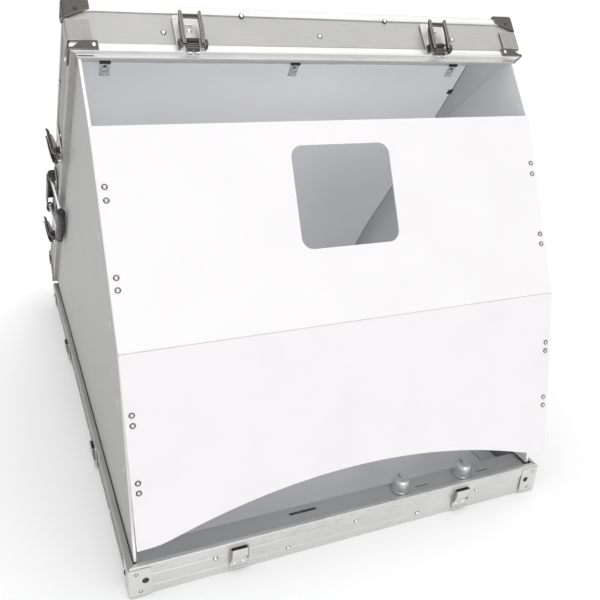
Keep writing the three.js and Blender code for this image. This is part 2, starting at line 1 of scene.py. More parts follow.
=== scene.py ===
"""Looks of the portable photo light box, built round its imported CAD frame.

Each piece is drawn in millimetres in a local frame: x along the wall, y inwards, z up from the rim.
Its object carries the matrix that stands it in the row frame, so that grain runs along the wall.
"""

import json
from math import atan, atan2, ceil, cos, dist, pi, radians, sin, sqrt, tan

import bmesh
import bpy
from mathutils import Matrix, Vector, noise

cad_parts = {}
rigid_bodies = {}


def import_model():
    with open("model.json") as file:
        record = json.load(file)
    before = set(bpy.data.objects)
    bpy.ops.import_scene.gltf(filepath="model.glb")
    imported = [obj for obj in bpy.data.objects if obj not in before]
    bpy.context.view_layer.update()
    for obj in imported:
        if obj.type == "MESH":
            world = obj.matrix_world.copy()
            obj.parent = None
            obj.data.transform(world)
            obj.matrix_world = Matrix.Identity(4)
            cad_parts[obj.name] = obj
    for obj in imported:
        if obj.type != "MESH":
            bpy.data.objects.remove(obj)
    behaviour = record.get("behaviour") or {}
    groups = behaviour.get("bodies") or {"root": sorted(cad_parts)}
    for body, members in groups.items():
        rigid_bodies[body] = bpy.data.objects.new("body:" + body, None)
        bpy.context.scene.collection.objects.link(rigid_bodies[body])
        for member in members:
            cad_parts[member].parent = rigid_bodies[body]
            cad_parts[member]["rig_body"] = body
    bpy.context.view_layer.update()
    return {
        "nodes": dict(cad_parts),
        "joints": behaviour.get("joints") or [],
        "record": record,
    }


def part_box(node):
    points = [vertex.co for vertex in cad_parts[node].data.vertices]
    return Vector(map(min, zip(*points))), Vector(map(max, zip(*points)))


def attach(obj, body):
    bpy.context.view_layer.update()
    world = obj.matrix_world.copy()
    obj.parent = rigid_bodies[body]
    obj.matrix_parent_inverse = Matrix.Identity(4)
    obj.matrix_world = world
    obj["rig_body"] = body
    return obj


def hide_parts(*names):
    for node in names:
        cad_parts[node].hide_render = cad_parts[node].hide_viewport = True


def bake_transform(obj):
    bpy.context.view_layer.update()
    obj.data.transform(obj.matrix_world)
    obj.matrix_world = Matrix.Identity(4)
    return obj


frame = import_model()

MM = 0.001
QUARTER = pi / 2
NODES = frame["nodes"]
JOINTS = {joint["name"]: joint for joint in frame["joints"]}
SUBPARTS = frame["record"]["subparts"]
SLOTS = {part["node"]: part["material_slot"] for part in SUBPARTS if "material_slot" in part}


def shift(x, y, z):
    return Matrix.Translation(Vector((x, y, z)) * MM)


def tilt(angle, axis="X"):
    return Matrix.Rotation(angle, 4, axis)


def sideways(sign):
    """Turns a body that points up to point along X, to the side of the sign."""
    return tilt(sign * QUARTER, "Y")


# ---- sizes in millimetres, from the frame ----

HALF_WIDTH = round(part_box("base_rail_right")[1].x / MM, 2)
HALF_DEPTH = round(-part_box("base_rail_front")[0].y / MM, 2)
BASE_HEIGHT = round(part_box("base_rail_front")[1].z / MM, 2)
HINGE_Y, HINGE_Z = (round(v / MM, 3) for v in JOINTS["lid_open"]["pos_m"][1:])
FOLD_Y, FOLD_Z = (round(v / MM, 3) for v in JOINTS["front_fold"]["pos_m"][1:])
LID_HEIGHT = 46
GAP = 0.3

# The lid's angle, from the hinge to a latch pivot that stands 6 out and 4.2 up on its front wall.
PIVOT_OUT, PIVOT_UP = 6, 4.2
pivot = JOINTS["latch_front_left"]["pos_m"]
LID_ANGLE = (
    atan2(pivot[2] / MM - HINGE_Z, HINGE_Y - pivot[1] / MM)
    - atan2(PIVOT_UP, HINGE_Y + HALF_DEPTH + PIVOT_OUT)
)

AT_HINGE = shift(0, HINGE_Y, HINGE_Z)
LID_AT_HINGE = AT_HINGE @ tilt(-LID_ANGLE)
LID = LID_AT_HINGE @ shift(0, -HINGE_Y, 0)
WALLS = {
    "front": (0, HALF_WIDTH, HALF_DEPTH),
    "right": (QUARTER, HALF_DEPTH, HALF_WIDTH),
    "rear": (pi, HALF_WIDTH, HALF_DEPTH),
    "left": (-QUARTER, HALF_DEPTH, HALF_WIDTH),
}
CORNERS = {
    "front_left": (0, -HALF_WIDTH, -HALF_DEPTH),
    "front_right": (QUARTER, HALF_WIDTH, -HALF_DEPTH),
    "rear_right": (pi, HALF_WIDTH, HALF_DEPTH),
    "rear_left": (-QUARTER, -HALF_WIDTH, HALF_DEPTH),
}


def on_wall(side, along=0, case=Matrix()):
    turn, _, offset = WALLS[side]
    return case @ tilt(turn, "Z") @ shift(along, -offset, 0)


def on_corner(corner, case=Matrix()):
    turn, x, y = CORNERS[corner]
    return case @ shift(x, y, 0) @ tilt(turn, "Z")


# ---- camera ----

CAMERA_PLACE = Vector((-0.29007, -0.80023, 0.51142))
CAMERA_TURNS = (24.36, 24.56, -3.38)
CAMERA_LENS = 42.19


def link(piece):
    bpy.context.scene.collection.objects.link(piece)


def make_camera():
    data = bpy.data.cameras.new("camera")
    data.lens = CAMERA_LENS
    data.sensor_width = 36
    data.clip_end = 100
    camera = bpy.data.objects.new("camera", data)
    yaw, pitch, roll = (radians(angle) for angle in CAMERA_TURNS)
    forward = Vector((sin(yaw) * cos(pitch), cos(yaw) * cos(pitch), -sin(pitch)))
    level = Vector((cos(yaw), -sin(yaw), 0))
    down = forward.cross(level)
    across = cos(roll) * level + sin(roll) * down
    up = sin(roll) * level - cos(roll) * down
    turn = Matrix((across, up, -forward)).transposed().to_4x4()
    camera.matrix_world = Matrix.Translation(CAMERA_PLACE) @ turn
    link(camera)
    bpy.context.scene.camera = camera


make_camera()


# ---- materials ----

def surface(name, colours, rough, metallic=0.0, grain=(1, 1, 1), fine=900, relief=0.0, reach=0.0002,
            broad=16, share=0.5, spread=0.16):
    """A procedural finish: colour and roughness drift between two values with a fine and a broad noise."""
    material = bpy.data.materials.new(name)
    material.use_nodes = True
    nodes, links = material.node_tree.nodes, material.node_tree.links
    shader = nodes["Principled BSDF"]
    shader.inputs["Metallic"].default_value = metallic

    def new_node(kind, **values):
        node = nodes.new("ShaderNode" + kind)
        for socket, value in values.items():
            node.inputs[socket].default_value = value
        return node

    def noise_node(scale, vector, detail):
        node = new_node("TexNoise", Scale=scale, Detail=detail)
        links.new(vector, node.inputs["Vector"])
        return node.outputs["Fac"]

    def math_node(operation, source, factor, added=None):
        node = new_node("Math")
        node.operation = operation
        links.new(source, node.inputs[0])
        node.inputs[1].default_value = factor
        if added:
            links.new(added, node.inputs[2])
        return node.outputs["Value"]

    coords = new_node("TexCoord")
    stretch = new_node("Mapping", Scale=grain)
    links.new(coords.outputs["Object"], stretch.inputs["Vector"])
    fine_noise = noise_node(fine, stretch.outputs["Vector"], 4)
    broad_noise = noise_node(broad, coords.outputs["Object"], 3)
    drift = math_node("MULTIPLY_ADD", fine_noise, share, math_node("MULTIPLY", broad_noise, 1 - share))
    low, high = 0.5 - spread, 0.5 + spread
    ramp = new_node("ValToRGB")
    for stop, position, colour in zip(ramp.color_ramp.elements, (low, high), colours):
        stop.position = position
        stop.color = (*colour, 1)
    links.new(drift, ramp.inputs["Fac"])
    links.new(ramp.outputs["Color"], shader.inputs["Base Color"])
    spans = new_node("MapRange")
    for socket, value in zip(("From Min", "From Max", "To Min", "To Max"), (low, high, *rough)):
        spans.inputs[socket].default_value = value
    links.new(drift, spans.inputs["Value"])
    links.new(spans.outputs["Result"], shader.inputs["Roughness"])
    if relief:
        bump = new_node("Bump", Strength=relief, Distance=reach)
        links.new(fine_noise, bump.inputs["Height"])
        links.new(bump.outputs["Normal"], shader.inputs["Normal"])
    return material


def greys(dark, light, tint=(0, 0, 0)):
    return [tuple(level + part for part in tint) for level in (dark, light)]


LENGTHWISE = (0.03, 1, 1)
UPRIGHT = (1, 1, 0.2)
WARM = (0.006, 0.003, -0.004)
COOL = (-0.006, 0.0, 0.012)
BOARD = {"rough": (0.42, 0.55), "fine": 1100, "relief": 0.05, "reach": 0.0001, "share": 0.3}
BLACK_NICKEL = ((0.028, 0.026, 0.024), (0.07, 0.066, 0.06))
TEXTURED_NICKEL = ((0.05, 0.046, 0.042), (0.12, 0.112, 0.104))
WORN_NICKEL = ((0.16, 0.15, 0.14), (0.3, 0.28, 0.26))
WORN_CORNER = ((0.28, 0.27, 0.256), (0.385, 0.373, 0.356))
CORE_WHITE = ((0.80, 0.80, 0.79), (0.88, 0.88, 0.86))
SIDE_BOARD_SHADE_GREY = ((0.36, 0.357, 0.353), (0.415, 0.412, 0.405))
LINING_WHITE = ((0.87, 0.875, 0.88), (0.91, 0.915, 0.92))
FILM_WHITE = ((0.90, 0.902, 0.925), (0.925, 0.927, 0.945))
PAINT_GREY = ((0.42, 0.425, 0.425), (0.48, 0.485, 0.485))
INK = ((0.03, 0.035, 0.04), (0.06, 0.065, 0.07))
BLACK = ((0.008, 0.008, 0.009), (0.02, 0.02, 0.021))
SHADOW = ((0.03, 0.03, 0.03), (0.07, 0.07, 0.065))
CIRCUIT_GREEN = ((0.02, 0.09, 0.045), (0.04, 0.2, 0.09))
PHOSPHOR = ((0.72, 0.62, 0.2), (0.84, 0.74, 0.3))


def aluminium(name, dark, light, rough, metallic, fine=1600, relief=0.12):
    """A drawn rail, with its grain along the wall."""
    return surface(name, greys(dark, light, WARM), rough, metallic, LENGTHWISE, fine, relief)


FINISHES = {
    "satin": aluminium("satin_aluminium", 0.56, 0.65, (0.36, 0.48), 0.7),
    "band": aluminium("bright_aluminium_band", 0.52, 0.62, (0.24, 0.36), 0.5, 1800, 0.06),
    # The lid's copies of the rail aluminium: the plain face darker, as painted shade, and the band brighter,
    # as painted light.
    "lid_satin_painted_shade": aluminium("lid_aluminium_painted_shade", 0.37, 0.45, (0.4, 0.52), 0.7),
    "lid_band_painted_light": aluminium("lid_aluminium_band_painted_light", 0.64, 0.75, (0.26, 0.38), 0.5, 1800, 0.06),
    # Darker copies of the rail aluminium for the walls away from the front: painted shade.
    "side_satin_painted_shade": aluminium("side_aluminium_painted_shade", 0.22, 0.32, (0.45, 0.58), 0.4),
    "side_band_painted_shade": aluminium("side_aluminium_band_painted_shade", 0.30, 0.40, (0.4, 0.52), 0.4, 1800, 0.06),
    "plate": surface("brushed_plate", greys(0.56, 0.68, WARM), (0.36, 0.5), 0.6, (1, 1, 0.04), 1500, 0.16),
    "corner": surface("worn_corner_plate", WORN_CORNER, (0.4, 0.55), 0.5, UPRIGHT, 1500, 0.2),
    "skin": surface("case_skin", greys(0.56, 0.64), (0.42, 0.55), 0.35, relief=0.35, reach=0.0004, share=0.7),
    "protector": surface("textured_black_nickel", TEXTURED_NICKEL, (0.45, 0.62), 0.2, fine=1500, relief=0.5,
                         reach=0.0004, share=0.85, spread=0.12),
    "nickel": surface("black_nickel", BLACK_NICKEL, (0.24, 0.4), 0.7, UPRIGHT, 1500, 0.15),
    "worn": surface("black_nickel_worn_edge", WORN_NICKEL, (0.24, 0.4), 0.7, fine=1300),
    "steel": surface("bright_steel", greys(0.76, 0.88, COOL), (0.12, 0.26), 0.9, fine=700, relief=0.03),
    "knurled": surface("knob_metal", greys(0.66, 0.80), (0.26, 0.4), 0.75, (1, 1, 0.1), 1200, 0.1),
    "board": surface("white_board", ((0.745, 0.733, 0.741), (0.77, 0.758, 0.766)), **BOARD),
    # A darker copy of the white board for the lower leaf: painted shade.
    "lower_board_painted_shade": surface("white_board_lower_painted_shade", ((0.72, 0.704, 0.714), (0.745, 0.729, 0.739)), **BOARD),
    # The fold's web is grey: painted shade in the crease.
    "crease": surface("crease_painted_shade", ((0.46, 0.45, 0.455), (0.56, 0.55, 0.555)), (0.5, 0.6), fine=1100),
    "edge": surface("white_core", CORE_WHITE, (0.45, 0.6), fine=1500, relief=0.1, reach=0.0001),
    # The side panels' outer face: a grey copy of the white board, as painted shade.
    "side_painted_shade": surface("side_board_painted_shade", SIDE_BOARD_SHADE_GREY, (0.42, 0.58), 0.0, (1, 0.2, 1), relief=0.1,
                        reach=0.0001, share=0.4),
    "lining": surface("white_lining", LINING_WHITE, (0.5, 0.65), fine=1100, relief=0.1, reach=0.0001),
    "sheet": surface("backdrop_film", FILM_WHITE, (0.5, 0.66), fine=1300, relief=0.12, reach=0.0001,
                     share=0.35),
    "paint": surface("grey_paint", PAINT_GREY, (0.4, 0.52), 0.15, fine=1400, relief=0.22, share=0.6),
    "ink": surface("dark_ink", INK, (0.5, 0.65), fine=1500, relief=0.1),
    "black": surface("black_plastic", BLACK, (0.34, 0.52), fine=1100, relief=0.35, reach=0.0003, share=0.7),
    # Painted shade: a near-black finish put in seats, slots, gaps and holes where shade falls.
    "painted_shade": surface("shadowed_recess", SHADOW, (0.6, 0.75), 0.1, fine=1500, relief=0.1),
    "circuit": surface("circuit_board", CIRCUIT_GREEN, (0.35, 0.5), fine=420, relief=0.2, share=0.9,
                       spread=0.06),
    "led": surface("led_phosphor", PHOSPHOR, (0.3, 0.45), fine=1800, relief=0.1),
}


# ---- drawing ----

def rounded(points, radius, steps=4):
    """A closed outline with round corners; a point may carry its own radius as a third number."""
    loop = []
    for i, point in enumerate(points):
        here, before, after = (Vector(points[j][:2]) for j in (i, i - 1, (i + 1) % len(points)))
        size = point[2] if len(point) > 2 else radius
        back, on = before - here, after - here
        half = back.angle(on) / 2
        cut = min(size / tan(half), 0.49 * back.length, 0.49 * on.length)
        if cut < 1e-3:
            loop.append(here)
            continue
        start, end = here + back.normalized() * cut, here + on.normalized() * cut
        pull = sin(half)
        for k in range(steps + 1):
            t = k / steps
            a, b, c = (1 - t) ** 2, 2 * pull * t * (1 - t), t ** 2
            loop.append((start * a + here * b + end * c) / (a + b + c))
    return loop


def rectangle(x, y, radius=0.0, steps=4):
    return rounded([(x[0], y[0]), (x[1], y[0]), (x[1], y[1]), (x[0], y[1])], radius, steps)


ORDER = {"X": lambda a, b, t: (t, a, b), "Y": lambda a, b, t: (a, t, b), "Z": lambda a, b, t: (a, b, t)}


def face_outwards(part):
    bmesh.ops.recalc_face_normals(part, faces=part.faces)


def round_edges(part, edges, offset, segments, material=-1):
    bmesh.ops.bevel(part, geom=edges, offset=offset, segments=segments, profile=0.5, affect="EDGES",
                    clamp_overlap=True, material=material)


def bridge(part, first, second):
    for i in range(len(first)):
        part.faces.new((first[i - 1], first[i], second[i], second[i - 1]))


def loft(rings, loop=False):
    """A closed body through rings of equal length."""
    part = bmesh.new()
    made = [[part.verts.new(point) for point in ring] for ring in rings]
    for first, second in zip(made, made[1:]):
        bridge(part, first, second)
    if loop:
        bridge(part, made[-1], made[0])
    else:
        part.faces.new(made[0])
        part.faces.new(made[-1])
    face_outwards(part)
    return part


def prism(outline, span, axis="Z"):
    """An outline pushed along an axis: [y, z] along X, [x, z] along Y or [x, y] along Z."""
    return loft([[ORDER[axis](p[0], p[1], t) for p in outline] for t in span])


def frame_plate(outline, hole, span):
    """A plate whose hole has as many points as its outline."""
    part = bmesh.new()
    outer, inner = ([[part.verts.new((*p, t)) for p in loop] for t in span] for loop in (outline, hole))
    for a, b in ((outer[0], inner[0]), (outer[1], inner[1]), (outer[0], outer[1]), (inner[0], inner[1])):
        bridge(part, a, b)
    face_outwards(part)
    return part


def block(x, y, z):
    return prism(rectangle(x, y), z)


def turns(steps):
    """The angles of a full turn in equal steps."""
    return [2 * pi * k / steps for k in range(steps)]


def lathe(profile, sides=32, flutes=(0, 0), depth=0.0):
    """A body turned about Z from (radius, z) pairs; between the two flute heights its side is fluted."""
    part = bmesh.new()
    rings = []
    for radius, z in profile:
        if radius < 1e-6:
            rings.append([part.verts.new((0, 0, z))])
            continue
        ring = []
        for k, angle in enumerate(turns(sides)):
            here = radius - (depth if k % 4 > 1 and flutes[0] <= z <= flutes[1] else 0)
            ring.append(part.verts.new((here * cos(angle), here * sin(angle), z)))
        rings.append(ring)
    for first, second in zip(rings, rings[1:]):
        if len(first) > 1 and len(second) > 1:
            bridge(part, first, second)
        else:
            tip, ring = (first, second) if len(first) == 1 else (second, first)
            for k in range(sides):
                part.faces.new((ring[k - 1], ring[k], tip[0]))
    for ring in (rings[0], rings[-1]):
        if len(ring) > 1:
            part.faces.new(ring)
    face_outwards(part)
    return part


def rod(radius, span, lip=0.25, sides=24):
    """A round bar along X with softened ends."""
    low, high = span
    inner = radius - lip
    profile = [(0, low), (inner, low), (radius, low + lip), (radius, high - lip), (inner, high), (0, high)]
    part = lathe(profile, sides)
    part.transform(sideways(1))
    return part


def tube(path, radius, sides=10, loop=False):
    """A round wire along points in space."""
    rings = []
    for i, point in enumerate(path):
        before = path[i - 1] if loop or i else point
        after = path[(i + 1) % len(path)] if loop or i + 1 < len(path) else point
        turn = (Vector(after) - Vector(before)).to_track_quat("Z", "Y")
        circle = [Vector((radius * cos(a), radius * sin(a), 0)) for a in turns(sides)]
        rings.append([turn @ spot + Vector(point) for spot in circle])
    return loft(rings, loop)


FACING_OUT = tilt(QUARTER)
FACING_IN = tilt(-QUARTER)
MIRROR = Matrix.Scale(-1, 4, (1, 0, 0))
OTHER_FLANK = tilt(-QUARTER, "Z") @ MIRROR


class Draft:
    """A mesh drawn in millimetres from bodies, each with its own finish."""

    def __init__(self):
        self.mesh = bmesh.new()
        self.finishes = []

    def index(self, finish):
        if finish not in self.finishes:
            self.finishes.append(finish)
        return self.finishes.index(finish)

    def add(self, part, finish, place=None, bevel=0.0, edge=None, choose=None):
        """Joins a body in. Its sharp edges are rounded by bevel, in the edge finish where one is given."""
        for face in part.faces:
            face.material_index = self.index(choose(face) if choose else finish)
        if bevel:
            sharp = [e for e in part.edges if len(e.link_faces) == 2 and e.calc_face_angle(0) > radians(28)]
            round_edges(part, sharp, bevel, 2, self.index(edge) if edge else -1)
        if place:
            in_mm = place.copy()
            in_mm.translation = place.translation / MM
            part.transform(in_mm)
        joined = bpy.data.meshes.new("joined")
        part.to_mesh(joined)
        part.free()
        self.mesh.from_mesh(joined)
        bpy.data.meshes.remove(joined)
        return self

    def stand(self, name, place, body=None, slot=None, node=None):
        """Makes the object, stands it in place and lets it ride; node is the CAD node that it stands for."""
        bmesh.ops.scale(self.mesh, vec=(MM, MM, MM), verts=self.mesh.verts)
        mesh = bpy.data.meshes.new(name)
        self.mesh.to_mesh(mesh)
        self.mesh.free()
        for finish in self.finishes:
            mesh.materials.append(FINISHES[finish])
        mesh.shade_smooth()
        mesh.set_sharp_from_angle(angle=radians(34))
        piece = bpy.data.objects.new(name, mesh)
        link(piece)
        piece.matrix_world = place
        piece.modifiers.new("even_shading", "WEIGHTED_NORMAL").keep_sharp = True
        if node:
            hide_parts(node)
            body = body or NODES[node]["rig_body"]
            slot = slot or SLOTS.get(node)
        if body:
            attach(piece, body)
        return piece


def redraw(node, place, draft):
    """A detailed piece in the place of one CAD node."""
    return draft.stand(node + ".detail", place, node=node)


def dome(radius, height):
    """A round rivet head on the plane z = 0."""
    profile = [(0, 0), (radius, 0), (radius, 0.2 * height), (0.86 * radius, 0.62 * height),
               (0.52 * radius, 0.92 * height), (0, height)]
    return lathe(profile, 20)


def add_rivet(draft, x, z, radius=2.2, out=0.0, height=1.1):
    """A rivet head on an outer wall, over a shallow ring of painted shade."""
    seat = shift(x, -out, z) @ FACING_OUT
    # The seat is a ring of painted shade.
    draft.add(lathe([(0, -0.2), (radius + 0.7, -0.2), (radius + 0.5, 0.12), (0, 0.12)], 20), "painted_shade", seat)
    draft.add(dome(radius, height), "steel", seat)


# ---- case rails ----

def bulge(low, high, rise, steps=6):
    """A band's gently rounded face between two heights, as section points from high to low."""
    return [(-rise * sin(pi * k / steps), high + (low - high) * k / steps) for k in range(steps + 1)]


RIM = 7.6
LEDGE = BASE_HEIGHT - 2.5
TONGUE_DROP = 2.7
BASE_BAND, LID_LOW_BAND, LID_TOP_BAND = (22.4, 33.2), (0.8, 6.9), (37.2, 43.4)
BASE_SECTION = (
    [(0.7, 0), (4, 0), (4, LEDGE - 6), (RIM, LEDGE - 3), (RIM, LEDGE), (4.8, LEDGE), (4.8, BASE_HEIGHT),
     (0.9, BASE_HEIGHT)]
    + bulge(*BASE_BAND, 0.45)
    + [(1.1, 22), (1.1, 21.4), (0.7, 21.1), (0.7, 9.6), (1.1, 9), (0.7, 8.4)]
)
LID_SECTION = (
    [(0.8, 0.1), (5.1, 0), (5.1, -TONGUE_DROP), (RIM, -TONGUE_DROP), (RIM, 3), (4, 6), (4, 43.4), (12, 43.4),
     (12, LID_HEIGHT), (3, LID_HEIGHT), (1.0, 45.2)]
    + bulge(*LID_TOP_BAND, 0.45)
    + [(1.1, 36.9), (1.1, 36.3), (0.7, 36), (0.7, 8.1), (1.1, 7.8), (1.1, 7.2)]
    + bulge(*LID_LOW_BAND, 0.4)
)
MITRE_GAP = 0.15
RIVET_PITCH = 73
RIVET_HEIGHTS = {"base": (20, 9.3), "lid": (19, 37.2)}
BASE_FRONT = ("satin", "band")
# The lid's front takes its own copies: painted shade on the face, painted light on the band.
LID_FRONT = ("lid_satin_painted_shade", "lid_band_painted_light")
# The other walls take the darker copies of the aluminium: painted shade.
SIDE = ("side_satin_painted_shade", "side_band_painted_shade")


def draw_rail(side, section, finish_at):
    half = WALLS[side][1]
    rail = loft([[(sign * (half - n - MITRE_GAP), n, h) for n, h in section] for sign in (-1, 1)])
    return Draft().add(rail, "satin", bevel=0.28, choose=lambda f: finish_at(f.calc_center_median(), side))


def base_finish(centre, side):
    """The outer bead is a brighter band; away from the front, the seat of the panel behind it takes painted
    shade, and the walls take their darker copies of the aluminium, as painted shade.
    """
    plain, band = BASE_FRONT if side == "front" else SIDE
    # Painted shade on the bead's top where the panel stands on it.
    if side != "front" and centre.y > 4.7 and centre.z > LEDGE - 3:
        return "painted_shade"
    return band if centre.z > BASE_BAND[0] - 0.2 and (centre.y < 4 or side == "front") else plain


def lid_finish(centre, side):
    """Metal outside, and the case's white lining on the faces that look inwards; on the front the lid's
    copies of the aluminium carry painted shade on the face and painted light on the band, elsewhere the side
    copies carry painted shade.
    """
    if centre.y > 3.9 and 0 < centre.z < LID_TOP_BAND[1] - 0.1:
        return "lining"
    plain, band = LID_FRONT if side == "front" else SIDE
    return band if centre.z < LID_LOW_BAND[1] or (centre.z > LID_TOP_BAND[0] and centre.y < 6) else plain


LATCH_SITES = {
    "front_left": ("front", -124),
    "front_right": ("front", 124),
    "side_front": ("left", 128.5),
    "side_rear": ("left", -124.5),
}
HANDLE_ALONG = -21
LATCH_ROOM, HANDLE_ROOM, HINGE_ROOM = 17, 60, 192


def is_covered(side, along, lid):
    """True where a latch, the handle or the hinge already covers the wall."""
    if any(wall == side and abs(along - u) < LATCH_ROOM for wall, u in LATCH_SITES.values()):
        return True
    if lid and side == "left" and abs(along - HANDLE_ALONG) < HANDLE_ROOM:
        return True
    return side == "rear" and abs(along) < HINGE_ROOM


def rail_rivets(side, case):
    """Rivets along a rail, in two rows by turns: sunk between the bands, and proud of a band."""
    draft = Draft()
    count = int((WALLS[side][1] - 40) / RIVET_PITCH)
    for k in range(-count, count + 1):
        along = k * RIVET_PITCH
        if not is_covered(side, along, case == "lid"):
            height = RIVET_HEIGHTS[case][k % 2]
            add_rivet(draft, along, height, 1.9, -0.7 if height < 36 else 0.3)
    return draft


def make_rails():
    for side in WALLS:
        walls = {"base": on_wall(side), "lid": on_wall(side, case=LID)}
        redraw(f"base_rail_{side}", walls["base"], draw_rail(side, BASE_SECTION, base_finish))
        redraw(f"lid_rail_{side}", walls["lid"], draw_rail(side, LID_SECTION, lid_finish))
        if side != "rear":
            for case, wall in walls.items():
                rail_rivets(side, case).stand(f"{case}_rivets_{side}", wall, case, "bright_steel")


make_rails()


# ---- corner pieces ----

def bent_plate(reach, thickness, low, high, radius=1.8, step=1.5):
    """An angle plate round the front left corner; low and high give its edges at each distance from it."""
    out = GAP + thickness
    bend = radius - out
    count = ceil((reach - bend) / step)
    flat = [reach - (reach - bend) * k / count for k in range(count + 1)]
    stations = [((d, -out), (0, -1), d) for d in flat[:-1]]
    for k in range(7):
        angle = -QUARTER - QUARTER * k / 6
        facing = (cos(angle), sin(angle))
        stations.append(((bend + radius * facing[0], bend + radius * facing[1]), facing, max(bend, 0)))
    stations += [((-out, d), (-1, 0), d) for d in reversed(flat[:-1])]
    rings = []
    for (x, y), (nx, ny), d in stations:
        inner = (x - nx * thickness, y - ny * thickness)
        rings.append([(x, y, low(d)), (x, y, high(d)), (*inner, high(d)), (*inner, low(d))])
    return loft(rings)


def end_round(level, reach, radius, sign):
    """A plate's edge height, which rounds off near the plate's end."""
    def height(d):
        past = max(0.0, d - (reach - radius))
        return level + sign * (radius - sqrt(max(0.0, radius ** 2 - past ** 2)))
    return height


PLATE_REACH = 20


def draw_base_corner():
    draft = Draft()
    low, high = (end_round(level, PLATE_REACH, 2.5, sign) for level, sign in ((1.2, 1), (32, -1)))
    draft.add(bent_plate(PLATE_REACH, 1, low, high), "plate", bevel=0.25, edge="satin")
    for flank in (Matrix(), OTHER_FLANK):
        for x, z, size in ((14, 18, 2.5), (9.5, 6.5, 1.1), (6, 27, 1.1)):
            seat = flank @ shift(x, -1.3, z) @ FACING_OUT
            # A ring of painted shade under each rivet head.
            draft.add(lathe([(0, -0.1), (size + 0.8, -0.1), (size + 0.6, 0.1), (0, 0.1)], 20), "painted_shade", seat)
            draft.add(dome(size, 0.45 * size), "nickel" if size > 2 else "steel", seat)
    return draft


def draw_lid_corner_plate():
    plate = bent_plate(PLATE_REACH - 1, 0.9, lambda d: 8.8, lambda d: 28.5)
    return Draft().add(plate, "corner", bevel=0.2, edge="plate")


RIM_REACH, RIM_LIP, RIM_TOP = 23, 2.6, 9


def rim_top(d):
    """The rim cap swells from a thin lip at the corner to its full height."""
    share = min(1.0, max(0.0, (d - 1) / 10))
    return RIM_LIP + (RIM_TOP - RIM_LIP) * share * share * (3 - 2 * share)


def draw_rim_cap():
    draft = Draft()
    draft.add(bent_plate(RIM_REACH, 1.5, lambda d: 0.3, rim_top, step=1), "protector", bevel=0.4, edge="worn")
    for flank in (Matrix(), OTHER_FLANK):
        draft.add(dome(1.9, 1.2), "steel", flank @ shift(19.5, -1.8, 4.6) @ FACING_OUT)
        # A thin strip of painted shade on the lid's tongue behind each flank of the cap.
        draft.add(block((6, 19), (4.95, 5.2), (-1.8, -0.9)), "painted_shade", flank)
    return draft


PROTECTOR_REACH = 20.5
PROTECTOR_THICKNESS = 1.6
PROTECTOR_FOOT = 28
SLANT_FOOT, SLANT = 30.3, 0.45


def draw_protector():
    """A three-sided cap over an upper corner, with round edges and flaps cut to a long slant."""
    low, high = -GAP - PROTECTOR_THICKNESS, PROTECTOR_REACH
    top = LID_HEIGHT + GAP + PROTECTOR_THICKNESS
    shell = block((low, high), (low, high), (PROTECTOR_FOOT, top))
    edges = [e for e in shell.edges
             if sum(abs(e.verts[0].co[k] - side) < 1e-4 and abs(e.verts[1].co[k] - side) < 1e-4
                    for k, side in ((0, low), (1, low), (2, top))) == 2]
    round_edges(shell, edges, 3.2, 5)
    backs = [f for f in shell.faces if f.normal.x > 0.9 or f.normal.y > 0.9 or f.normal.z < -0.9]
    bmesh.ops.delete(shell, geom=backs, context="FACES")
    bmesh.ops.bisect_plane(shell, geom=shell.verts[:] + shell.edges[:] + shell.faces[:],
                           plane_co=(0, 0, SLANT_FOOT), plane_no=(SLANT, SLANT, -1), clear_outer=True)
    face_outwards(shell)
    inward = [f for f in shell.faces if f.normal.dot(Vector((-1, -1, 1))) < 0]
    bmesh.ops.reverse_faces(shell, faces=inward)
    bmesh.ops.solidify(shell, geom=shell.faces[:], thickness=PROTECTOR_THICKNESS)
    face_outwards(shell)
    draft = Draft().add(shell, "protector", bevel=0.35, edge="worn")
    seat = shift(9, -GAP - PROTECTOR_THICKNESS, 37.5) @ FACING_OUT
    for place in (seat, OTHER_FLANK @ seat, shift(9, 9, top)):
        draft.add(dome(1.7, 0.7), "nickel", place)
    return draft


def make_corners():
    for corner in CORNERS:
        lid_corner = on_corner(corner, LID)
        redraw(f"base_corner_{corner}", on_corner(corner), draw_base_corner())
        redraw(f"lid_corner_{corner}", lid_corner, draw_rim_cap())
        draw_lid_corner_plate().stand(f"lid_corner_plate_{corner}", lid_corner, "lid", "corner_plate")
        redraw(f"lid_protector_{corner}", lid_corner, draw_protector())


make_corners()


# ---- case skins and hinge ----

SKIN_INSET, SKIN_THICKNESS = 4.3, 2.5


def draw_skin(low, inner):
    """A floor or cover of the case, lined on the face whose normal's z has the sign of inner."""
    wide, deep = HALF_WIDTH - SKIN_INSET, HALF_DEPTH - SKIN_INSET
    plate = prism(rectangle((-wide, wide), (-deep, deep), 3), (low, low + SKIN_THICKNESS))
    return Draft().add(plate, "skin", bevel=0.3,
                       choose=lambda face: "lining" if inner * face.normal.z > 0.9 else "skin")


def make_skins():
    redraw("base_floor", Matrix(), draw_skin(0, 1))
    redraw("lid_panel", LID, draw_skin(LID_HEIGHT - 2.6 - GAP - SKIN_THICKNESS, -1))


KNUCKLE = 54
KNUCKLES = 7
HINGE_HALF = KNUCKLE * KNUCKLES / 2
SCREWS, SCREW_PITCH = 8, 48
LEAF_INNER, LEAF_OUTER = -3.7, -2.5


def screw_head():
    """A flat screw head with a cross of painted shade standing for its slot, facing +Z."""
    draft = [lathe([(0, 0), (3.1, 0), (3.1, 0.25), (2.6, 0.7), (0, 0.8)], 20)]
    # The cross is painted shade.
    draft += [block((-1.7, 1.7), (-0.3, 0.3), (0.7, 0.83)), block((-0.3, 0.3), (-1.7, 1.7), (0.7, 0.83))]
    return draft


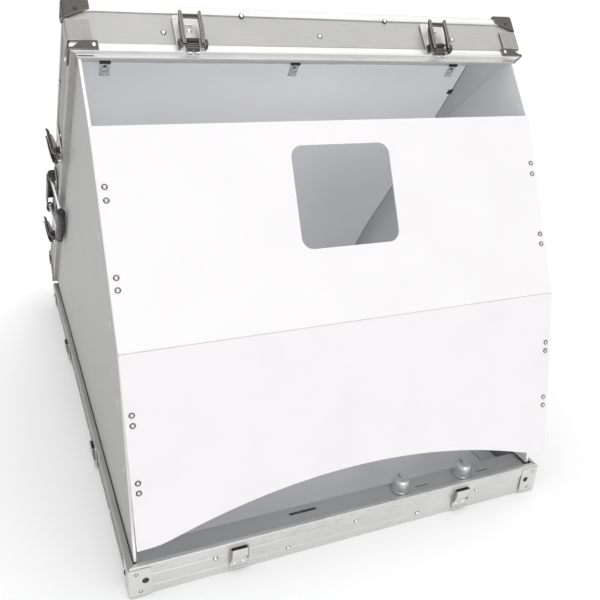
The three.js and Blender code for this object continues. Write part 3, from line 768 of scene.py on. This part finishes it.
def draw_leaf(up, first):
    draft = Draft()
    heights = (3.8, 22) if up > 0 else (-22, -3.8)
    plate = rectangle((-HINGE_HALF, HINGE_HALF), heights, 1.2)
    draft.add(prism(plate, (LEAF_INNER, LEAF_OUTER), "Y"), "satin", bevel=0.2, edge="band")
    for i in range(first, KNUCKLES, 2):
        low, high = i * KNUCKLE - HINGE_HALF + GAP, (i + 1) * KNUCKLE - HINGE_HALF - GAP
        web = (0.0, 4.2) if up > 0 else (-4.2, 0.0)
        draft.add(block((low, high), (LEAF_INNER, LEAF_OUTER), web), "satin")
        wrap = [(1.3, low), (3.0, low), (3.2, low + 0.2), (3.2, high - 0.2), (3.0, high), (1.3, high)]
        draft.add(lathe(wrap, 28), "satin", sideways(1))
    for k in range(SCREWS):
        x = (k - (SCREWS - 1) / 2) * SCREW_PITCH
        for body, finish in zip(screw_head(), ("steel", "painted_shade", "painted_shade")):
            draft.add(body, finish, shift(x, LEAF_OUTER, up * 14) @ FACING_IN @ tilt(0.4 * k, "Z"))
    return draft


def make_hinge():
    redraw("hinge_leaf_base", AT_HINGE, draw_leaf(-1, 0))
    redraw("hinge_leaf_lid", LID_AT_HINGE, draw_leaf(1, 1))
    pin = Draft().add(rod(1.2, (-HINGE_HALF, HINGE_HALF)), "steel")
    for sign in (-1, 1):
        pin.add(dome(2.3, 1.2), "steel", shift(sign * HINGE_HALF, 0, 0) @ sideways(sign))
    redraw("hinge_pin", AT_HINGE, pin)


make_skins()
make_hinge()


# ---- latches ----

LATCH_REST = radians(5)
CLAW_OUT, CLAW_UP = 4.4, 8.4


def wall_plate(half, heights, radius, out):
    """A plate with round corners that lies on a wall and reaches out from it."""
    return prism(rectangle((-half, half), heights, radius), (-out, -GAP), "Y")


def draw_latch_plate():
    draft = Draft().add(wall_plate(13.2, (3, 35), 2.6, 1.5), "plate", bevel=0.3, edge="band")
    ear = rounded([(-1.2, 0.8), (-6.4, 0.8), (-9, 2.6), (-9, 7), (-5, 9.3), (-1.2, 9.5)], 1.4)
    for span in ((-12.3, -10.9), (10.9, 12.3)):
        draft.add(prism(ear, span, "X"), "nickel", bevel=0.3, edge="worn")
    for x, z in ((0, 19.6), (-11.4, 31.6), (11.4, 31.6)):
        draft.add(dome(2.1 if x == 0 else 1.1, 0.9), "steel", shift(x, -1.5, z) @ FACING_OUT)
    return draft.add(block((-3.4, 3.4), (-2.6, -1.4), (24.4, 25.8)), "steel", bevel=0.4)


def bar_section(width, depth):
    """A bar's section with a shallow groove along its outer face."""
    w, d = width / 2, depth / 2
    groove = [(-0.35, -d), (-0.3, -d + 0.45), (0.3, -d + 0.45), (0.35, -d)]
    return rounded([(-w, -d), *groove, (w, -d), (w, d), (-w, d)], 0.5, 2)


def lever_finish(face):
    """The bars are worn on their narrow front and back faces."""
    return "worn" if abs(face.normal.y) > 0.8 and face.calc_area() < 6 else "nickel"


def draw_lever():
    draft = Draft()
    for sign in (-1, 1):
        path = [(8.1, -2.2, -1), (8.3, -2.5, 3), (8.5, -2.8, 9), (8.5, -2.9, 15), (8.4, -2.8, 20.5),
                (8.2, -2.7, 24), (8.3, -3.1, 26), (8.6, -3.8, 27.9)]
        sizes = [0.85, 1, 1, 1, 1, 1, 0.9, 0.55]
        rings = [[(sign * x + s * px, y + s * py, z) for px, py in bar_section(3.6, 3.0)]
                 for (x, y, z), s in zip(path, sizes)]
        draft.add(loft(rings), "nickel", choose=lever_finish)
        flange = rounded([(-1.6, -2.2), (0, -3.1), (2.0, -2.5), (2.6, -0.6), (2.4, 8), (0.8, 19),
                          (-1.6, 22.3)], 1.0)
        draft.add(prism(flange, sorted((sign * 8.9, sign * 10.3)), "X"), "worn", bevel=0.25, edge="nickel")
        draft.add(rod(1.3, sorted((sign * 9, sign * 12.1))), "steel")
        draft.add(dome(2.0, 0.9), "nickel", shift(sign * 12.2, 0, 0) @ sideways(sign))
    return draft.add(block((-7.2, 7.2), (-3.9, -1.9), (21.6, 25.3)), "nickel", bevel=0.5, edge="worn")


def draw_claw():
    draft = Draft()
    strip = rounded([(-5.6, 0.4), (-5.6, -8.8), (-4.2, -11.3), (-1.6, -11.3), (-0.8, -9.2), (0.8, -9.2),
                     (1.6, -11.3), (4.2, -11.3), (5.6, -8.8), (5.6, 0.4)], 0.7)
    draft.add(prism(strip, (0.6, 1.8), "Y"), "nickel", bevel=0.25, edge="worn")
    for z in (-2.9, -5.0, -7.1):
        draft.add(block((-5.2, 5.2), (-0.1, 0.8), (z - 0.6, z + 0.6)), "nickel", bevel=0.4, edge="worn")
    draft.add(rod(1.8, (-5.6, 5.6)), "nickel")
    draft.add(rod(1.1, (-10, 10)), "steel")
    for sign in (-1, 1):
        draft.add(block(sorted((sign * 1.6, sign * 5.0)), (0.6, 3.9), (-12, -10.6)), "steel", bevel=0.4)
    return draft


def draw_striker():
    draft = Draft().add(wall_plate(9, (4, 30), 2.4, 1.4), "plate", bevel=0.25, edge="band")
    lip = rounded([(-1.3, 16), (-3.6, 17), (-5.2, 20.6), (-5.6, 24), (-5.6, 29), (-4.4, 29), (-4.3, 24),
                   (-3.4, 20), (-1.3, 18.4)], 0.8)
    draft.add(prism(lip, (-7.6, 7.6), "X"), "plate", bevel=0.3, edge="band")
    arm = rounded([(-1.3, 12), (-3.4, 14), (-4.5, 19), (-4.5, 28.6), (-1.3, 29.4)], 1.0)
    for span in ((-9, -7.8), (7.8, 9)):
        draft.add(prism(arm, span, "X"), "worn", bevel=0.3, edge="band")
    # Painted shadow on the plate under the lip.
    draft.add(block((-7.6, 7.6), (-1.45, -1.35), (21, 29.6)), "painted_shade")
    draft.add(block((-9, 9), (-2.6, -1.3), (4, 6)), "plate", bevel=0.4, edge="band")
    for x in (-4.5, 4.5):
        draft.add(dome(1.8, 0.9), "steel", shift(x, -1.4, 10.4) @ FACING_OUT)
    return draft


def make_latches():
    for label, (side, along) in LATCH_SITES.items():
        redraw(f"striker_{label}", on_wall(side, along), draw_striker())
        site = on_wall(side, along, LID)
        pivot_place = site @ shift(0, -PIVOT_OUT, PIVOT_UP) @ tilt(LATCH_REST)
        claw_place = pivot_place @ shift(0, PIVOT_OUT - CLAW_OUT, CLAW_UP - PIVOT_UP) @ tilt(-LATCH_REST)
        redraw(f"latch_plate_{label}", site, draw_latch_plate())
        redraw(f"latch_lever_{label}", pivot_place, draw_lever())
        redraw(f"latch_claw_{label}", claw_place, draw_claw())


make_latches()


# ---- carrying handle ----

HANDLE_OUT, HANDLE_UP = 6, 27
HANDLE_REACH = 46
HANDLE_LEAN = radians(7)
HANDLE_HALF = 42
GRIP_HALF, GRIP_SAG = 39.4, 1.6


def draw_handle_bracket():
    # The bracket takes the side copies of the aluminium, with their painted shade.
    draft = Draft().add(wall_plate(55, (15, 37), 4, 1.8), "side_satin_painted_shade", bevel=0.3, edge="side_band_painted_shade")
    channel = rounded([(-1.6, 36), (-10.6, 36, 1.8), (-10.6, 22), (-9.2, 22), (-9.2, 34.6, 0.6),
                       (-1.6, 34.6)], 0.3)
    draft.add(prism(channel, (-36, 36), "X"), "nickel", bevel=0.2, edge="worn")
    for x in (-51, -42, 42, 51):
        draft.add(dome(1.9, 0.9), "steel", shift(x, -1.8, 18.4) @ FACING_OUT)
    return draft


def draw_handle_lugs():
    draft = Draft()
    outline = rounded([(-1.9, 21.5), (-7, 21.5, 4.5), (-10.3, 24, 4), (-10.3, 30, 4), (-7, 32.5, 4),
                       (-1.9, 32.5)], 0.8, 5)
    for sign in (-1, 1):
        draft.add(prism(outline, sorted((sign * 47.2, sign * 54.5)), "X"), "black", bevel=0.6)
        draft.add(dome(2.6, 0.9), "black", shift(sign * 54.4, -HANDLE_OUT, HANDLE_UP) @ sideways(sign))
    return draft


def ellipse(ry, rz, steps=28):
    return [(ry * cos(a), rz * sin(a)) for a in turns(steps)]


def draw_handle_arms():
    """Flat metal arms with black eyes on the pivot pins and black ferrules round the grip's ends."""
    draft = Draft()
    for sign in (-1, 1):
        centre = sign * HANDLE_HALF
        arm = [(0, 3.8, 2.4), (-4, 2.6, 2.0), (-14, 2.2, 1.6), (-28, 2.2, 1.6), (-38, 2.6, 1.9),
               (-42, 3.0, 2.2)]
        rings = [[(centre + a, b, z) for a, b in rectangle((-w, w), (-d, d), 1.0, 3)] for z, w, d in arm]
        draft.add(loft(rings), "steel")
        draft.add(rod(3.2, (centre - 3.2, centre + 3.2), 0.5), "black")
        draft.add(rod(2.3, sorted((sign * (HANDLE_HALF - 2), sign * (HANDLE_HALF + 10.6)))), "steel")
        collar = [(39.0, 4.4, 5.8), (39.6, 4.9, 6.3), (43.5, 4.9, 6.3), (45.2, 4.3, 5.7), (46.6, 3.0, 4.2)]
        rings = [[(sign * x, y, z - HANDLE_REACH) for y, z in ellipse(ry, rz)] for x, ry, rz in collar]
        draft.add(loft(rings), "black")
    return draft


def draw_handle_grip():
    """A thick soft grip that swells and bows a little towards its middle."""
    rings = []
    steps = 48
    for k in range(steps + 1):
        t = 2 * k / steps - 1
        x = GRIP_HALF * t
        swell = 1 - 0.10 * t * t
        ripple = 0.18 * cos(5 * pi * t) if abs(t) < 0.9 else 0
        end = 1 - 0.25 * max(0, (abs(t) - 0.96) / 0.04) ** 2
        sag = GRIP_SAG * (1 - t * t)
        section = ellipse((5.2 * swell + ripple) * end, (6.6 * swell + ripple) * end)
        rings.append([(x, y, z - HANDLE_REACH - sag) for y, z in section])
    return Draft().add(loft(rings), "black")


def make_handle():
    site = on_wall("left", HANDLE_ALONG, LID)
    redraw("handle_plate", site, draw_handle_bracket())
    draw_handle_lugs().stand("handle_lugs", site, "lid", "black_plastic")
    hanging = site @ shift(0, -HANDLE_OUT, HANDLE_UP) @ tilt(HANDLE_LEAN)
    redraw("handle_grip", hanging, draw_handle_grip())
    draw_handle_arms().stand("handle_arms", hanging, "handle", "bright_steel")


make_handle()


# ---- panels of the enclosure ----

def lid_point(s, h):
    """Row y and z of a point s forward of the hinge and h deep in the lid."""
    return (HINGE_Y - s * cos(LID_ANGLE) + h * sin(LID_ANGLE),
            HINGE_Z + s * sin(LID_ANGLE) + h * cos(LID_ANGLE))


PANEL_OUTER = HALF_WIDTH - 6
PANEL_INNER = PANEL_OUTER - 2.6
PANEL_FOOT = LEDGE + GAP
FRONT_TOP = (-218.2, 396)
FRONT_BOTTOM = (-339.7, 63)
PANEL_BEHIND_FRONT = 2.6
UNDER_TONGUE = -TONGUE_DROP - GAP
SNAPS = [(-235, 309), (-266, 243), (-283, 178), (-293, 114)]


def side_finish(outward):
    """A grey copy of the white board outside, as painted shade, a white core and a white lining inside."""
    return "edge" if abs(outward) < 0.9 else "side_painted_shade" if outward > 0 else "lining"


def finish_board(board, outside):
    """A front board: its finish outside, a white core at its edges and a white lining inside."""
    return Draft().add(board, outside, bevel=0.3, edge="edge",
                       choose=lambda face: "lining" if face.normal.z < -0.9 else outside)


def draw_side_panel(sign):
    back = HALF_DEPTH - RIM - 3
    back_s = (HINGE_Y + UNDER_TONGUE * sin(LID_ANGLE) - back) / cos(LID_ANGLE)
    outline = [
        (-HALF_DEPTH + RIM + 1, PANEL_FOOT),
        (back, PANEL_FOOT),
        lid_point(back_s, UNDER_TONGUE),
        lid_point(2 * HALF_DEPTH - 1.6, UNDER_TONGUE),
        (FRONT_TOP[0] + PANEL_BEHIND_FRONT, FRONT_TOP[1]),
        (FOLD_Y + PANEL_BEHIND_FRONT, FOLD_Z),
    ]
    wall = prism(rounded(outline, 1.2, 3), sorted((sign * PANEL_INNER, sign * PANEL_OUTER)), "X")
    draft = Draft().add(wall, "edge", bevel=0.3, choose=lambda face: side_finish(sign * face.normal.x))
    snap = [(0, -0.1), (2.9, -0.1), (2.7, 0.25), (1.9, 0.35), (1.5, 0.1), (0, 0.1)]
    for y, z in SNAPS:
        draft.add(lathe(snap, 20), "plate", shift(sign * PANEL_OUTER, y, z) @ sideways(sign))
    return draft


def board_place(high, low):
    lean = atan2(high[0] - low[0], high[1] - low[1])
    return shift(0, FOLD_Y, FOLD_Z) @ tilt(QUARTER - lean)


FOLD = (FOLD_Y, FOLD_Z)
UPPER_PLACE = board_place(FRONT_TOP, FOLD)
LOWER_PLACE = board_place(FOLD, FRONT_BOTTOM)
BOARD_HALF = 218.6
TAB_SIDE = 215.3
BOARD_THICKNESS = 2
WINDOW_X, WINDOW_Y, WINDOW_RADIUS = (-49.5, 49.5), (115 - 46.5, 115 + 46.5), 11
ARCH_HALF, ARCH_RISE = 198, 33
TAB_ROWS = {"front_panel_upper": [59, 131], "front_panel_lower": [-54, -116]}
EYELET_ROWS = {"front_panel_upper": [134, 123, 61, 51], "front_panel_lower": [-52, -61, -112, -121]}
EYELET_X = 212.7


def draw_upper_board():
    length = dist(FRONT_TOP, FOLD)
    outline = rectangle((-BOARD_HALF, BOARD_HALF), (0.6, length), 1.5, 8)
    hole = rectangle(WINDOW_X, WINDOW_Y, WINDOW_RADIUS, 8)
    board = frame_plate(outline, hole, (-BOARD_THICKNESS, 0))
    return finish_board(board, "board")


def draw_lower_board():
    """A board whose lower edge is a wide shallow arch that eases into two flat feet."""
    length = dist(FRONT_BOTTOM, FOLD)
    radius = (ARCH_HALF ** 2 + ARCH_RISE ** 2) / (2 * ARCH_RISE)
    ease, steps = 3.0, 72
    outline = [(-BOARD_HALF, -0.4), (-BOARD_HALF, -length)]
    for k in range(steps + 1):
        x = (2 * k / steps - 1) * (BOARD_HALF - 3)
        arc = sqrt(radius ** 2 - x ** 2) - (radius - ARCH_RISE)
        outline.append((x, -length + (arc + sqrt(arc ** 2 + ease ** 2)) / 2))
    outline += [(BOARD_HALF, -length), (BOARD_HALF, -0.4)]
    board = prism(outline, (-BOARD_THICKNESS, 0))
    # The lower leaf takes the darker copy of the board: painted shade.
    return finish_board(board, "lower_board_painted_shade")


def add_tabs(draft, rows):
    angle = rounded([(0, -1.8), (0, -17), (-1.5, -17), (-1.5, -3.4), (-8, -3.4), (-8, -1.8)], 0.3)
    for row in rows:
        for sign in (-1, 1):
            outline = [(sign * (TAB_SIDE + x), z) for x, z in angle]
            draft.add(prism(outline, (row - 9, row + 9), "Y"), "satin", bevel=0.15)


# Painted highlight: the ring's faces that look down the board take the bright band finish.
def ring_painted_highlight(face):
    return "nickel" if face.normal.y > -0.3 else "band"


def draw_eyelets(rows):
    """Snap rivets through the board's edges: a rolled dark ring with a painted highlight on the faces that
    look down the board, round a bright domed head.
    """
    draft = Draft()
    ring = [(0, -0.1), (2.5, -0.1), (2.6, 0.3), (2.3, 0.6), (1.9, 0.6), (1.7, 0.3), (0, 0.25)]
    for row in rows:
        for sign in (-1, 1):
            place = shift(sign * EYELET_X, row, 0)
            draft.add(lathe(ring, 24), "nickel", place, choose=ring_painted_highlight)
            draft.add(dome(1.7, 0.8), "band", place @ shift(0, 0, 0.2))
    return draft


def make_crease():
    """The thin web of board that the front folds on, grey as painted shade in the crease."""
    draft = Draft().add(block((-BOARD_HALF + 0.6, BOARD_HALF - 0.6), (-0.6, 0.8), (-0.75, -0.3)), "crease")
    crease = draft.stand("front_fold_crease", UPPER_PLACE, slot="front_panel")
    crease.modifiers.clear()
    low, high = UPPER_PLACE @ Vector((0, -0.4 * MM, 0)), UPPER_PLACE @ Vector((0, 0.6 * MM, 0))
    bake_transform(crease)
    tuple(low)
    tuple(high)


def make_panels():
    for sign, side in ((-1, "left"), (1, "right")):
        redraw(f"side_panel_{side}", Matrix(), draw_side_panel(sign))
    for node, board, place, body in (
        ("front_panel_upper", draw_upper_board(), UPPER_PLACE, "front_upper"),
        ("front_panel_lower", draw_lower_board(), LOWER_PLACE, "front_lower"),
    ):
        add_tabs(board, TAB_ROWS[node])
        redraw(node, place, board)
        draw_eyelets(EYELET_ROWS[node]).stand(node.replace("panel", "eyelets"), place, body, "latch")
    make_crease()


make_panels()


# ---- background sheet and its clips ----

SHEET_PATH = [(-127, 434), (-82, 372), (-30, 301), (22, 235), (66, 179), (98, 126), (110, 82), (97, 38),
              (58, 12), (0, 4.5), (-80, 3.5), (-190, 3.5), (-292, 3.5)]
SHEET_LEFT, SHEET_RIGHT = -212, 198
SHEET_THICKNESS = 0.6
# Width of the strip of painted shade along each side of the sheet.
SHEET_SHADE_STRIP = 0.9


def smooth_path(points, steps):
    """A centripetal Catmull-Rom line through the points."""
    points = [Vector(p) for p in points]
    points = [2 * points[0] - points[1], *points, 2 * points[-1] - points[-2]]
    line = []
    for a, b, c, d in zip(points, points[1:], points[2:], points[3:]):
        t1, t2, t3 = (sqrt((q - p).length) for p, q in ((a, b), (b, c), (c, d)))
        t2, t3 = t1 + t2, t1 + t2 + t3
        for k in range(steps):
            t = t1 + (t2 - t1) * k / steps
            ab = a + (b - a) * t / t1
            bc = b + (c - b) * (t - t1) / (t2 - t1)
            cd = c + (d - c) * (t - t2) / (t3 - t2)
            abc = ab + (bc - ab) * t / t2
            bcd = bc + (cd - bc) * (t - t1) / (t3 - t1)
            line.append(abc + (bcd - abc) * (t - t1) / (t2 - t1))
    return [*line, points[-2]]


def sheet_finish(face):
    """White film with a thin strip of painted shade along both sides."""
    inside = SHEET_LEFT + SHEET_SHADE_STRIP < face.calc_center_median().x < SHEET_RIGHT - SHEET_SHADE_STRIP
    return "sheet" if inside else "painted_shade"


def make_sheet():
    """A film that hangs from the lid, rolls forward and lies on the floor, with slightly uneven tension."""
    line = smooth_path(SHEET_PATH, 8)
    width, parts = SHEET_RIGHT - SHEET_LEFT, 44
    even = [SHEET_LEFT + width * k / parts for k in range(parts + 1)]
    low, high = SHEET_LEFT + SHEET_SHADE_STRIP, SHEET_RIGHT - SHEET_SHADE_STRIP
    stations = [SHEET_LEFT, *(min(max(x, low), high) for x in even), SHEET_RIGHT]
    columns = len(stations) - 1
    part = bmesh.new()
    rows = []
    for i, point in enumerate(line):
        along = (line[min(i + 1, len(line) - 1)] - line[max(i - 1, 0)]).normalized()
        facing = Vector((along.y, -along.x))
        lying = min(1.0, max(0.0, (point.y - 12) / 60))
        row = []
        for k, x in enumerate(stations):
            wave = 1.4 * noise.noise(Vector((x / 120, i / 26, 3.7))) + 0.5 * abs(2 * k / columns - 1) ** 6
            y, z = point + facing * wave * lying
            row.append(part.verts.new((x, y, z)))
        rows.append(row)
    for first, second in zip(rows, rows[1:]):
        for k in range(columns):
            part.faces.new((first[k], first[k + 1], second[k + 1], second[k]))
    face_outwards(part)
    bmesh.ops.solidify(part, geom=part.faces[:], thickness=SHEET_THICKNESS)
    face_outwards(part)
    film = Draft().add(part, "sheet", choose=sheet_finish)
    sheet = film.stand("background_sheet.detail", Matrix(), slot="backdrop")
    sheet.modifiers.clear()
    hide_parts("background_sheet")
    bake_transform(sheet)
    length = sum((b - a).length for a, b in zip(line, line[1:])) * MM


CLIP_X = {"left": -190, "middle": -6, "right": 180}
SHEET_END_S, SHEET_END_H = 607.9, 22.6
SHEET_SLOPE = atan(0.236)
EDGE_CLIP = (-105, 404)
EDGE_CLIP_TILT = atan2(-71, 52)


def draw_sheet_clip():
    """A spring clip: two jaws over the sheet's edge, a curled back, a tongue to the lid and a pull ring."""
    draft = Draft()
    jaws = rounded([(14.5, -2.3), (12, -1.9), (-2.4, -1.9, 1.2), (-2.4, 1.9, 1.2), (3, 1.9), (3, 14.6),
                    (4.4, 14.6), (4.4, 1.9), (14, 1.9), (14, 0.9), (-1.2, 0.9), (-1.2, -0.9), (12, -0.9),
                    (14.5, -1.3)], 0.3, 3)
    draft.add(prism(jaws, (-4.5, 4.5), "X"), "steel", bevel=0.15)
    draft.add(rod(1.5, (-4.9, 4.9)), "nickel", shift(0, -1.6, -1.6))
    ring = [(3.0 * sin(a), 7.4 + 3.4 * cos(a), -3.0 - 0.5 * cos(a)) for a in turns(28)]
    draft.add(tube(ring, 0.55, loop=True), "steel")
    return draft.add(dome(1.5, 0.8), "nickel", shift(0, 3.4, -1.9) @ tilt(pi))


def make_sheet_clips():
    for label, x in CLIP_X.items():
        place = LID_AT_HINGE @ shift(x, -SHEET_END_S, SHEET_END_H) @ tilt(-SHEET_SLOPE)
        redraw(f"sheet_clip_{label}", place, draw_sheet_clip())
    edge_clip = Draft()
    jaw = rounded([(193, -2.4), (199, -2.4), (200.2, 0), (199, 2.4), (193, 2.4), (193, 1), (198.3, 0.9),
                   (198.3, -0.9), (193, -1)], 0.5, 3)
    edge_clip.add(prism(jaw, (-3, 3), "Y"), "black", bevel=0.3)
    for y in (-1.8, 0, 1.8):
        edge_clip.add(block((194, 198.6), (y - 0.4, y + 0.4), (2.2, 2.7)), "black", bevel=0.15)
    redraw("sheet_edge_clip", shift(0, *EDGE_CLIP) @ tilt(EDGE_CLIP_TILT), edge_clip)


make_sheet()
make_sheet_clips()


# ---- light bar ----

LEDS, LED_PITCH = 48, 8.2


def make_light_bar():
    draft = Draft()
    channel = rounded([(-655.6, 24), (-654.2, 24), (-654.2, 30), (-642.4, 30), (-642.4, 24), (-641, 24),
                       (-641, 38), (-655.6, 38)], 0.35, 2)
    draft.add(prism(channel, (-200, 200), "X"), "band", bevel=0.2)
    draft.add(block((-198, 198), (-653, -643.6), (29.2, 29.95)), "edge")
    for k in range(LEDS):
        x = (k - (LEDS - 1) / 2) * LED_PITCH
        draft.add(block((x - 1.7, x + 1.7), (-649.9, -646.7), (28.2, 29.3)), "led", bevel=0.2)
    redraw("led_bar", LID_AT_HINGE, draft)


make_light_bar()


# ---- control strip and electrics ----

CONTROL_TOP = 29
STRIP_REAR = -296
INLET_Y, INLET_Z = -305, 14
KNOB_PLACES = {"left": JOINTS["dimmer_left"]["pos_m"], "right": JOINTS["dimmer_right"]["pos_m"]}


def make_control_strip():
    half, front = HALF_WIDTH - RIM - GAP, -HALF_DEPTH + RIM + GAP
    draft = Draft()
    section = rounded([(front, 27.5), (front, CONTROL_TOP, 0.8), (STRIP_REAR, CONTROL_TOP, 0.8),
                       (STRIP_REAR, 3), (STRIP_REAR - 1.5, 3), (STRIP_REAR - 1.5, 27.5)], 0.3, 3)
    draft.add(prism(section, (-half, half), "X"), "paint", bevel=0.2)
    printed = (CONTROL_TOP - 0.02, CONTROL_TOP + 0.05)
    for x, y, _ in KNOB_PLACES.values():
        x, y = x / MM, y / MM
        for k in range(11):
            tick = block((10.2, 11.6), (-0.25, 0.25), printed)
            draft.add(tick, "ink", shift(x, y, 0) @ tilt(radians(27 * k - 45), "Z"))
        draft.add(block((x + 18, x + 34), (y - 2.1, y - 0.9), printed), "ink")
    draft.add(block((-64, -35), (-307, -303.6), printed), "ink")
    redraw("control_panel", Matrix(), draft)


def draw_knob():
    profile = [(0, 0.7), (8.6, 0.7), (9, 0.95), (9, 2.0), (8.7, 2.4), (8.5, 2.8), (8.5, 12.6), (8.3, 13.6),
               (7.7, 14.7), (6.8, 15.4), (6.0, 15.5), (5.5, 15.2), (0, 15.0)]
    draft = Draft().add(lathe(profile, 144, (2.7, 12.7), 0.2), "knurled")
    draft.add(rod(1.2, (-9, 1)), "steel", sideways(-1) @ MIRROR)
    return draft.add(block((-0.5, 0.5), (1.4, 7.2), (14.95, 15.5)), "ink", bevel=0.1)


def draw_pot():
    draft = Draft()
    can = [(0, 12), (7.6, 12), (8, 12.4), (8, 21.6), (7.6, 22)]
    bush = [(4.4, 22), (3.3, 22.2), (3.3, 25.2), (3.1, 25.4), (1.3, 25.4), (1.3, 22)]
    draft.add(lathe(can + bush, 32), "satin")
    draft.add(block((-6, 6), (-8.6, -7.2), (12.5, 18)), "circuit", bevel=0.2)
    for x in (-4, 0, 4):
        draft.add(block((x - 0.7, x + 0.7), (-8.2, -7.6), (9, 13)), "steel", bevel=0.15)
    return draft


def make_knobs():
    for label, (x, y, _) in KNOB_PLACES.items():
        above = shift(x / MM, y / MM, CONTROL_TOP)
        redraw(f"dimmer_knob_{label}", above, draw_knob())
        redraw(f"dimmer_pot_{label}", shift(x / MM, y / MM, 0), draw_pot())


def make_driver():
    draft = Draft().add(prism(rectangle((-150, -40), (-316, -300), 1), (6, 7.6)), "circuit", bevel=0.15)
    for x, r, top in ((-138, 4.6, 20), (-127, 4.6, 20), (-84, 3, 15)):
        can = [(0, 7.5), (r, 7.5), (r, 9), (r - 0.4, 9.4), (r, 9.8), (r, top - 0.4), (r - 0.4, top), (0, top)]
        cap = [(0, top - 0.1), (r - 0.6, top - 0.1), (r - 0.7, top + 0.1), (0, top + 0.1)]
        draft.add(lathe(can, 24), "black", shift(x, -308, 0))
        draft.add(lathe(cap, 24), "steel", shift(x, -308, 0))
    draft.add(block((-112, -96), (-314, -302), (7.5, 16)), "paint", bevel=0.6)
    for x in (-72, -60, -50):
        draft.add(block((x - 4, x + 4), (-312, -305), (7.5, 9.6)), "black", bevel=0.3)
        for k in range(5):
            draft.add(block((x - 3.6 + 1.7 * k, x - 3.0 + 1.7 * k), (-313.4, -311.8), (7.5, 8.2)), "steel")
    redraw("led_driver", Matrix(), draft)


def make_inlet():
    """A barrel socket inside the right rail, with a black ring on the rail's outer face."""
    draft = Draft().add(block((-13, 0.5), (-6, 6), (-6, 6)), "black", bevel=0.8)
    barrel = lathe([(2.8, 2), (2.8, 13.6), (3.2, 13.9), (4.0, 13.9), (4.2, 13.6), (4.2, 0), (2.8, 0)], 32)
    draft.add(barrel, "black", sideways(1))
    draft.add(rod(1.0, (0, 12.4), 0.4), "steel")
    # Painted shade at the bottom of the socket's bore.
    draft.add(rod(2.8, (0, 1.0), 0.1), "painted_shade")
    redraw("power_inlet", shift(HALF_WIDTH - 14.4, INLET_Y, INLET_Z), draft)
    profile = [(4.3, -0.1), (6.2, -0.1), (6.0, 0.5), (4.9, 0.7), (4.3, 0.5)]
    ring = Draft().add(lathe(profile, 32), "black", sideways(1))
    ring.stand("power_inlet_ring", shift(HALF_WIDTH - 0.7, INLET_Y, INLET_Z), "base", "black_plastic")


make_control_strip()
make_knobs()
make_driver()
make_inlet()


# ---- floor and light ----

def make_floor():
    reach, drop = 60, 0.0003
    part = bmesh.new()
    corners = ((-1, -1), (1, -1), (1, 1), (-1, 1))
    part.faces.new([part.verts.new((x * reach, y * reach, -drop)) for x, y in corners])
    mesh = bpy.data.meshes.new("floor")
    part.to_mesh(mesh)
    part.free()
    mesh.materials.append(surface("pale_floor", ((0.93,) * 3, (0.95,) * 3), (0.8, 0.9), broad=2))
    floor = bpy.data.objects.new("floor", mesh)
    link(floor)


SKY = ((0.0, 1.0), (0.06, 0.9), (0.16, 0.24), (0.85, 0.36))


def make_world():
    """A pale studio: bright along the horizon, dim above it, brighter again overhead."""
    world = bpy.data.worlds.new("studio")
    world.use_nodes = True
    nodes, links = world.node_tree.nodes, world.node_tree.links
    coords = nodes.new("ShaderNodeTexCoord")
    split = nodes.new("ShaderNodeSeparateXYZ")
    ramp = nodes.new("ShaderNodeValToRGB")
    steps = ramp.color_ramp.elements
    for k, (height, level) in enumerate(SKY):
        step = steps[k] if k < 2 else steps.new(height)
        step.position = height
        step.color = (level, level, level * 1.01, 1)
    links.new(coords.outputs["Generated"], split.inputs["Vector"])
    links.new(split.outputs["Z"], ramp.inputs["Fac"])
    links.new(ramp.outputs["Color"], nodes["Background"].inputs["Color"])
    bpy.context.scene.world = world


def make_sun(name, direction, strength, spread, shadow=True):
    data = bpy.data.lights.new(name, "SUN")
    data.energy = strength
    data.angle = radians(spread)
    data.use_shadow = shadow
    lamp = bpy.data.objects.new(name, data)
    lamp.rotation_mode = "QUATERNION"
    lamp.rotation_quaternion = Vector(direction).to_track_quat("Z", "Y")
    link(lamp)


make_floor()
make_world()
make_sun("overhead", (0, 0, 1), 2.2, 100)
make_sun("key", (0.3, -0.86, 0.42), 0.3, 60, False)
make_sun("front", (-0.06, -0.9, 0.4), 0.72, 20)
make_sun("fill", (0.02, -0.88, -0.45), 0.82, 80, False)
bpy.context.scene.view_settings.view_transform = "Standard"
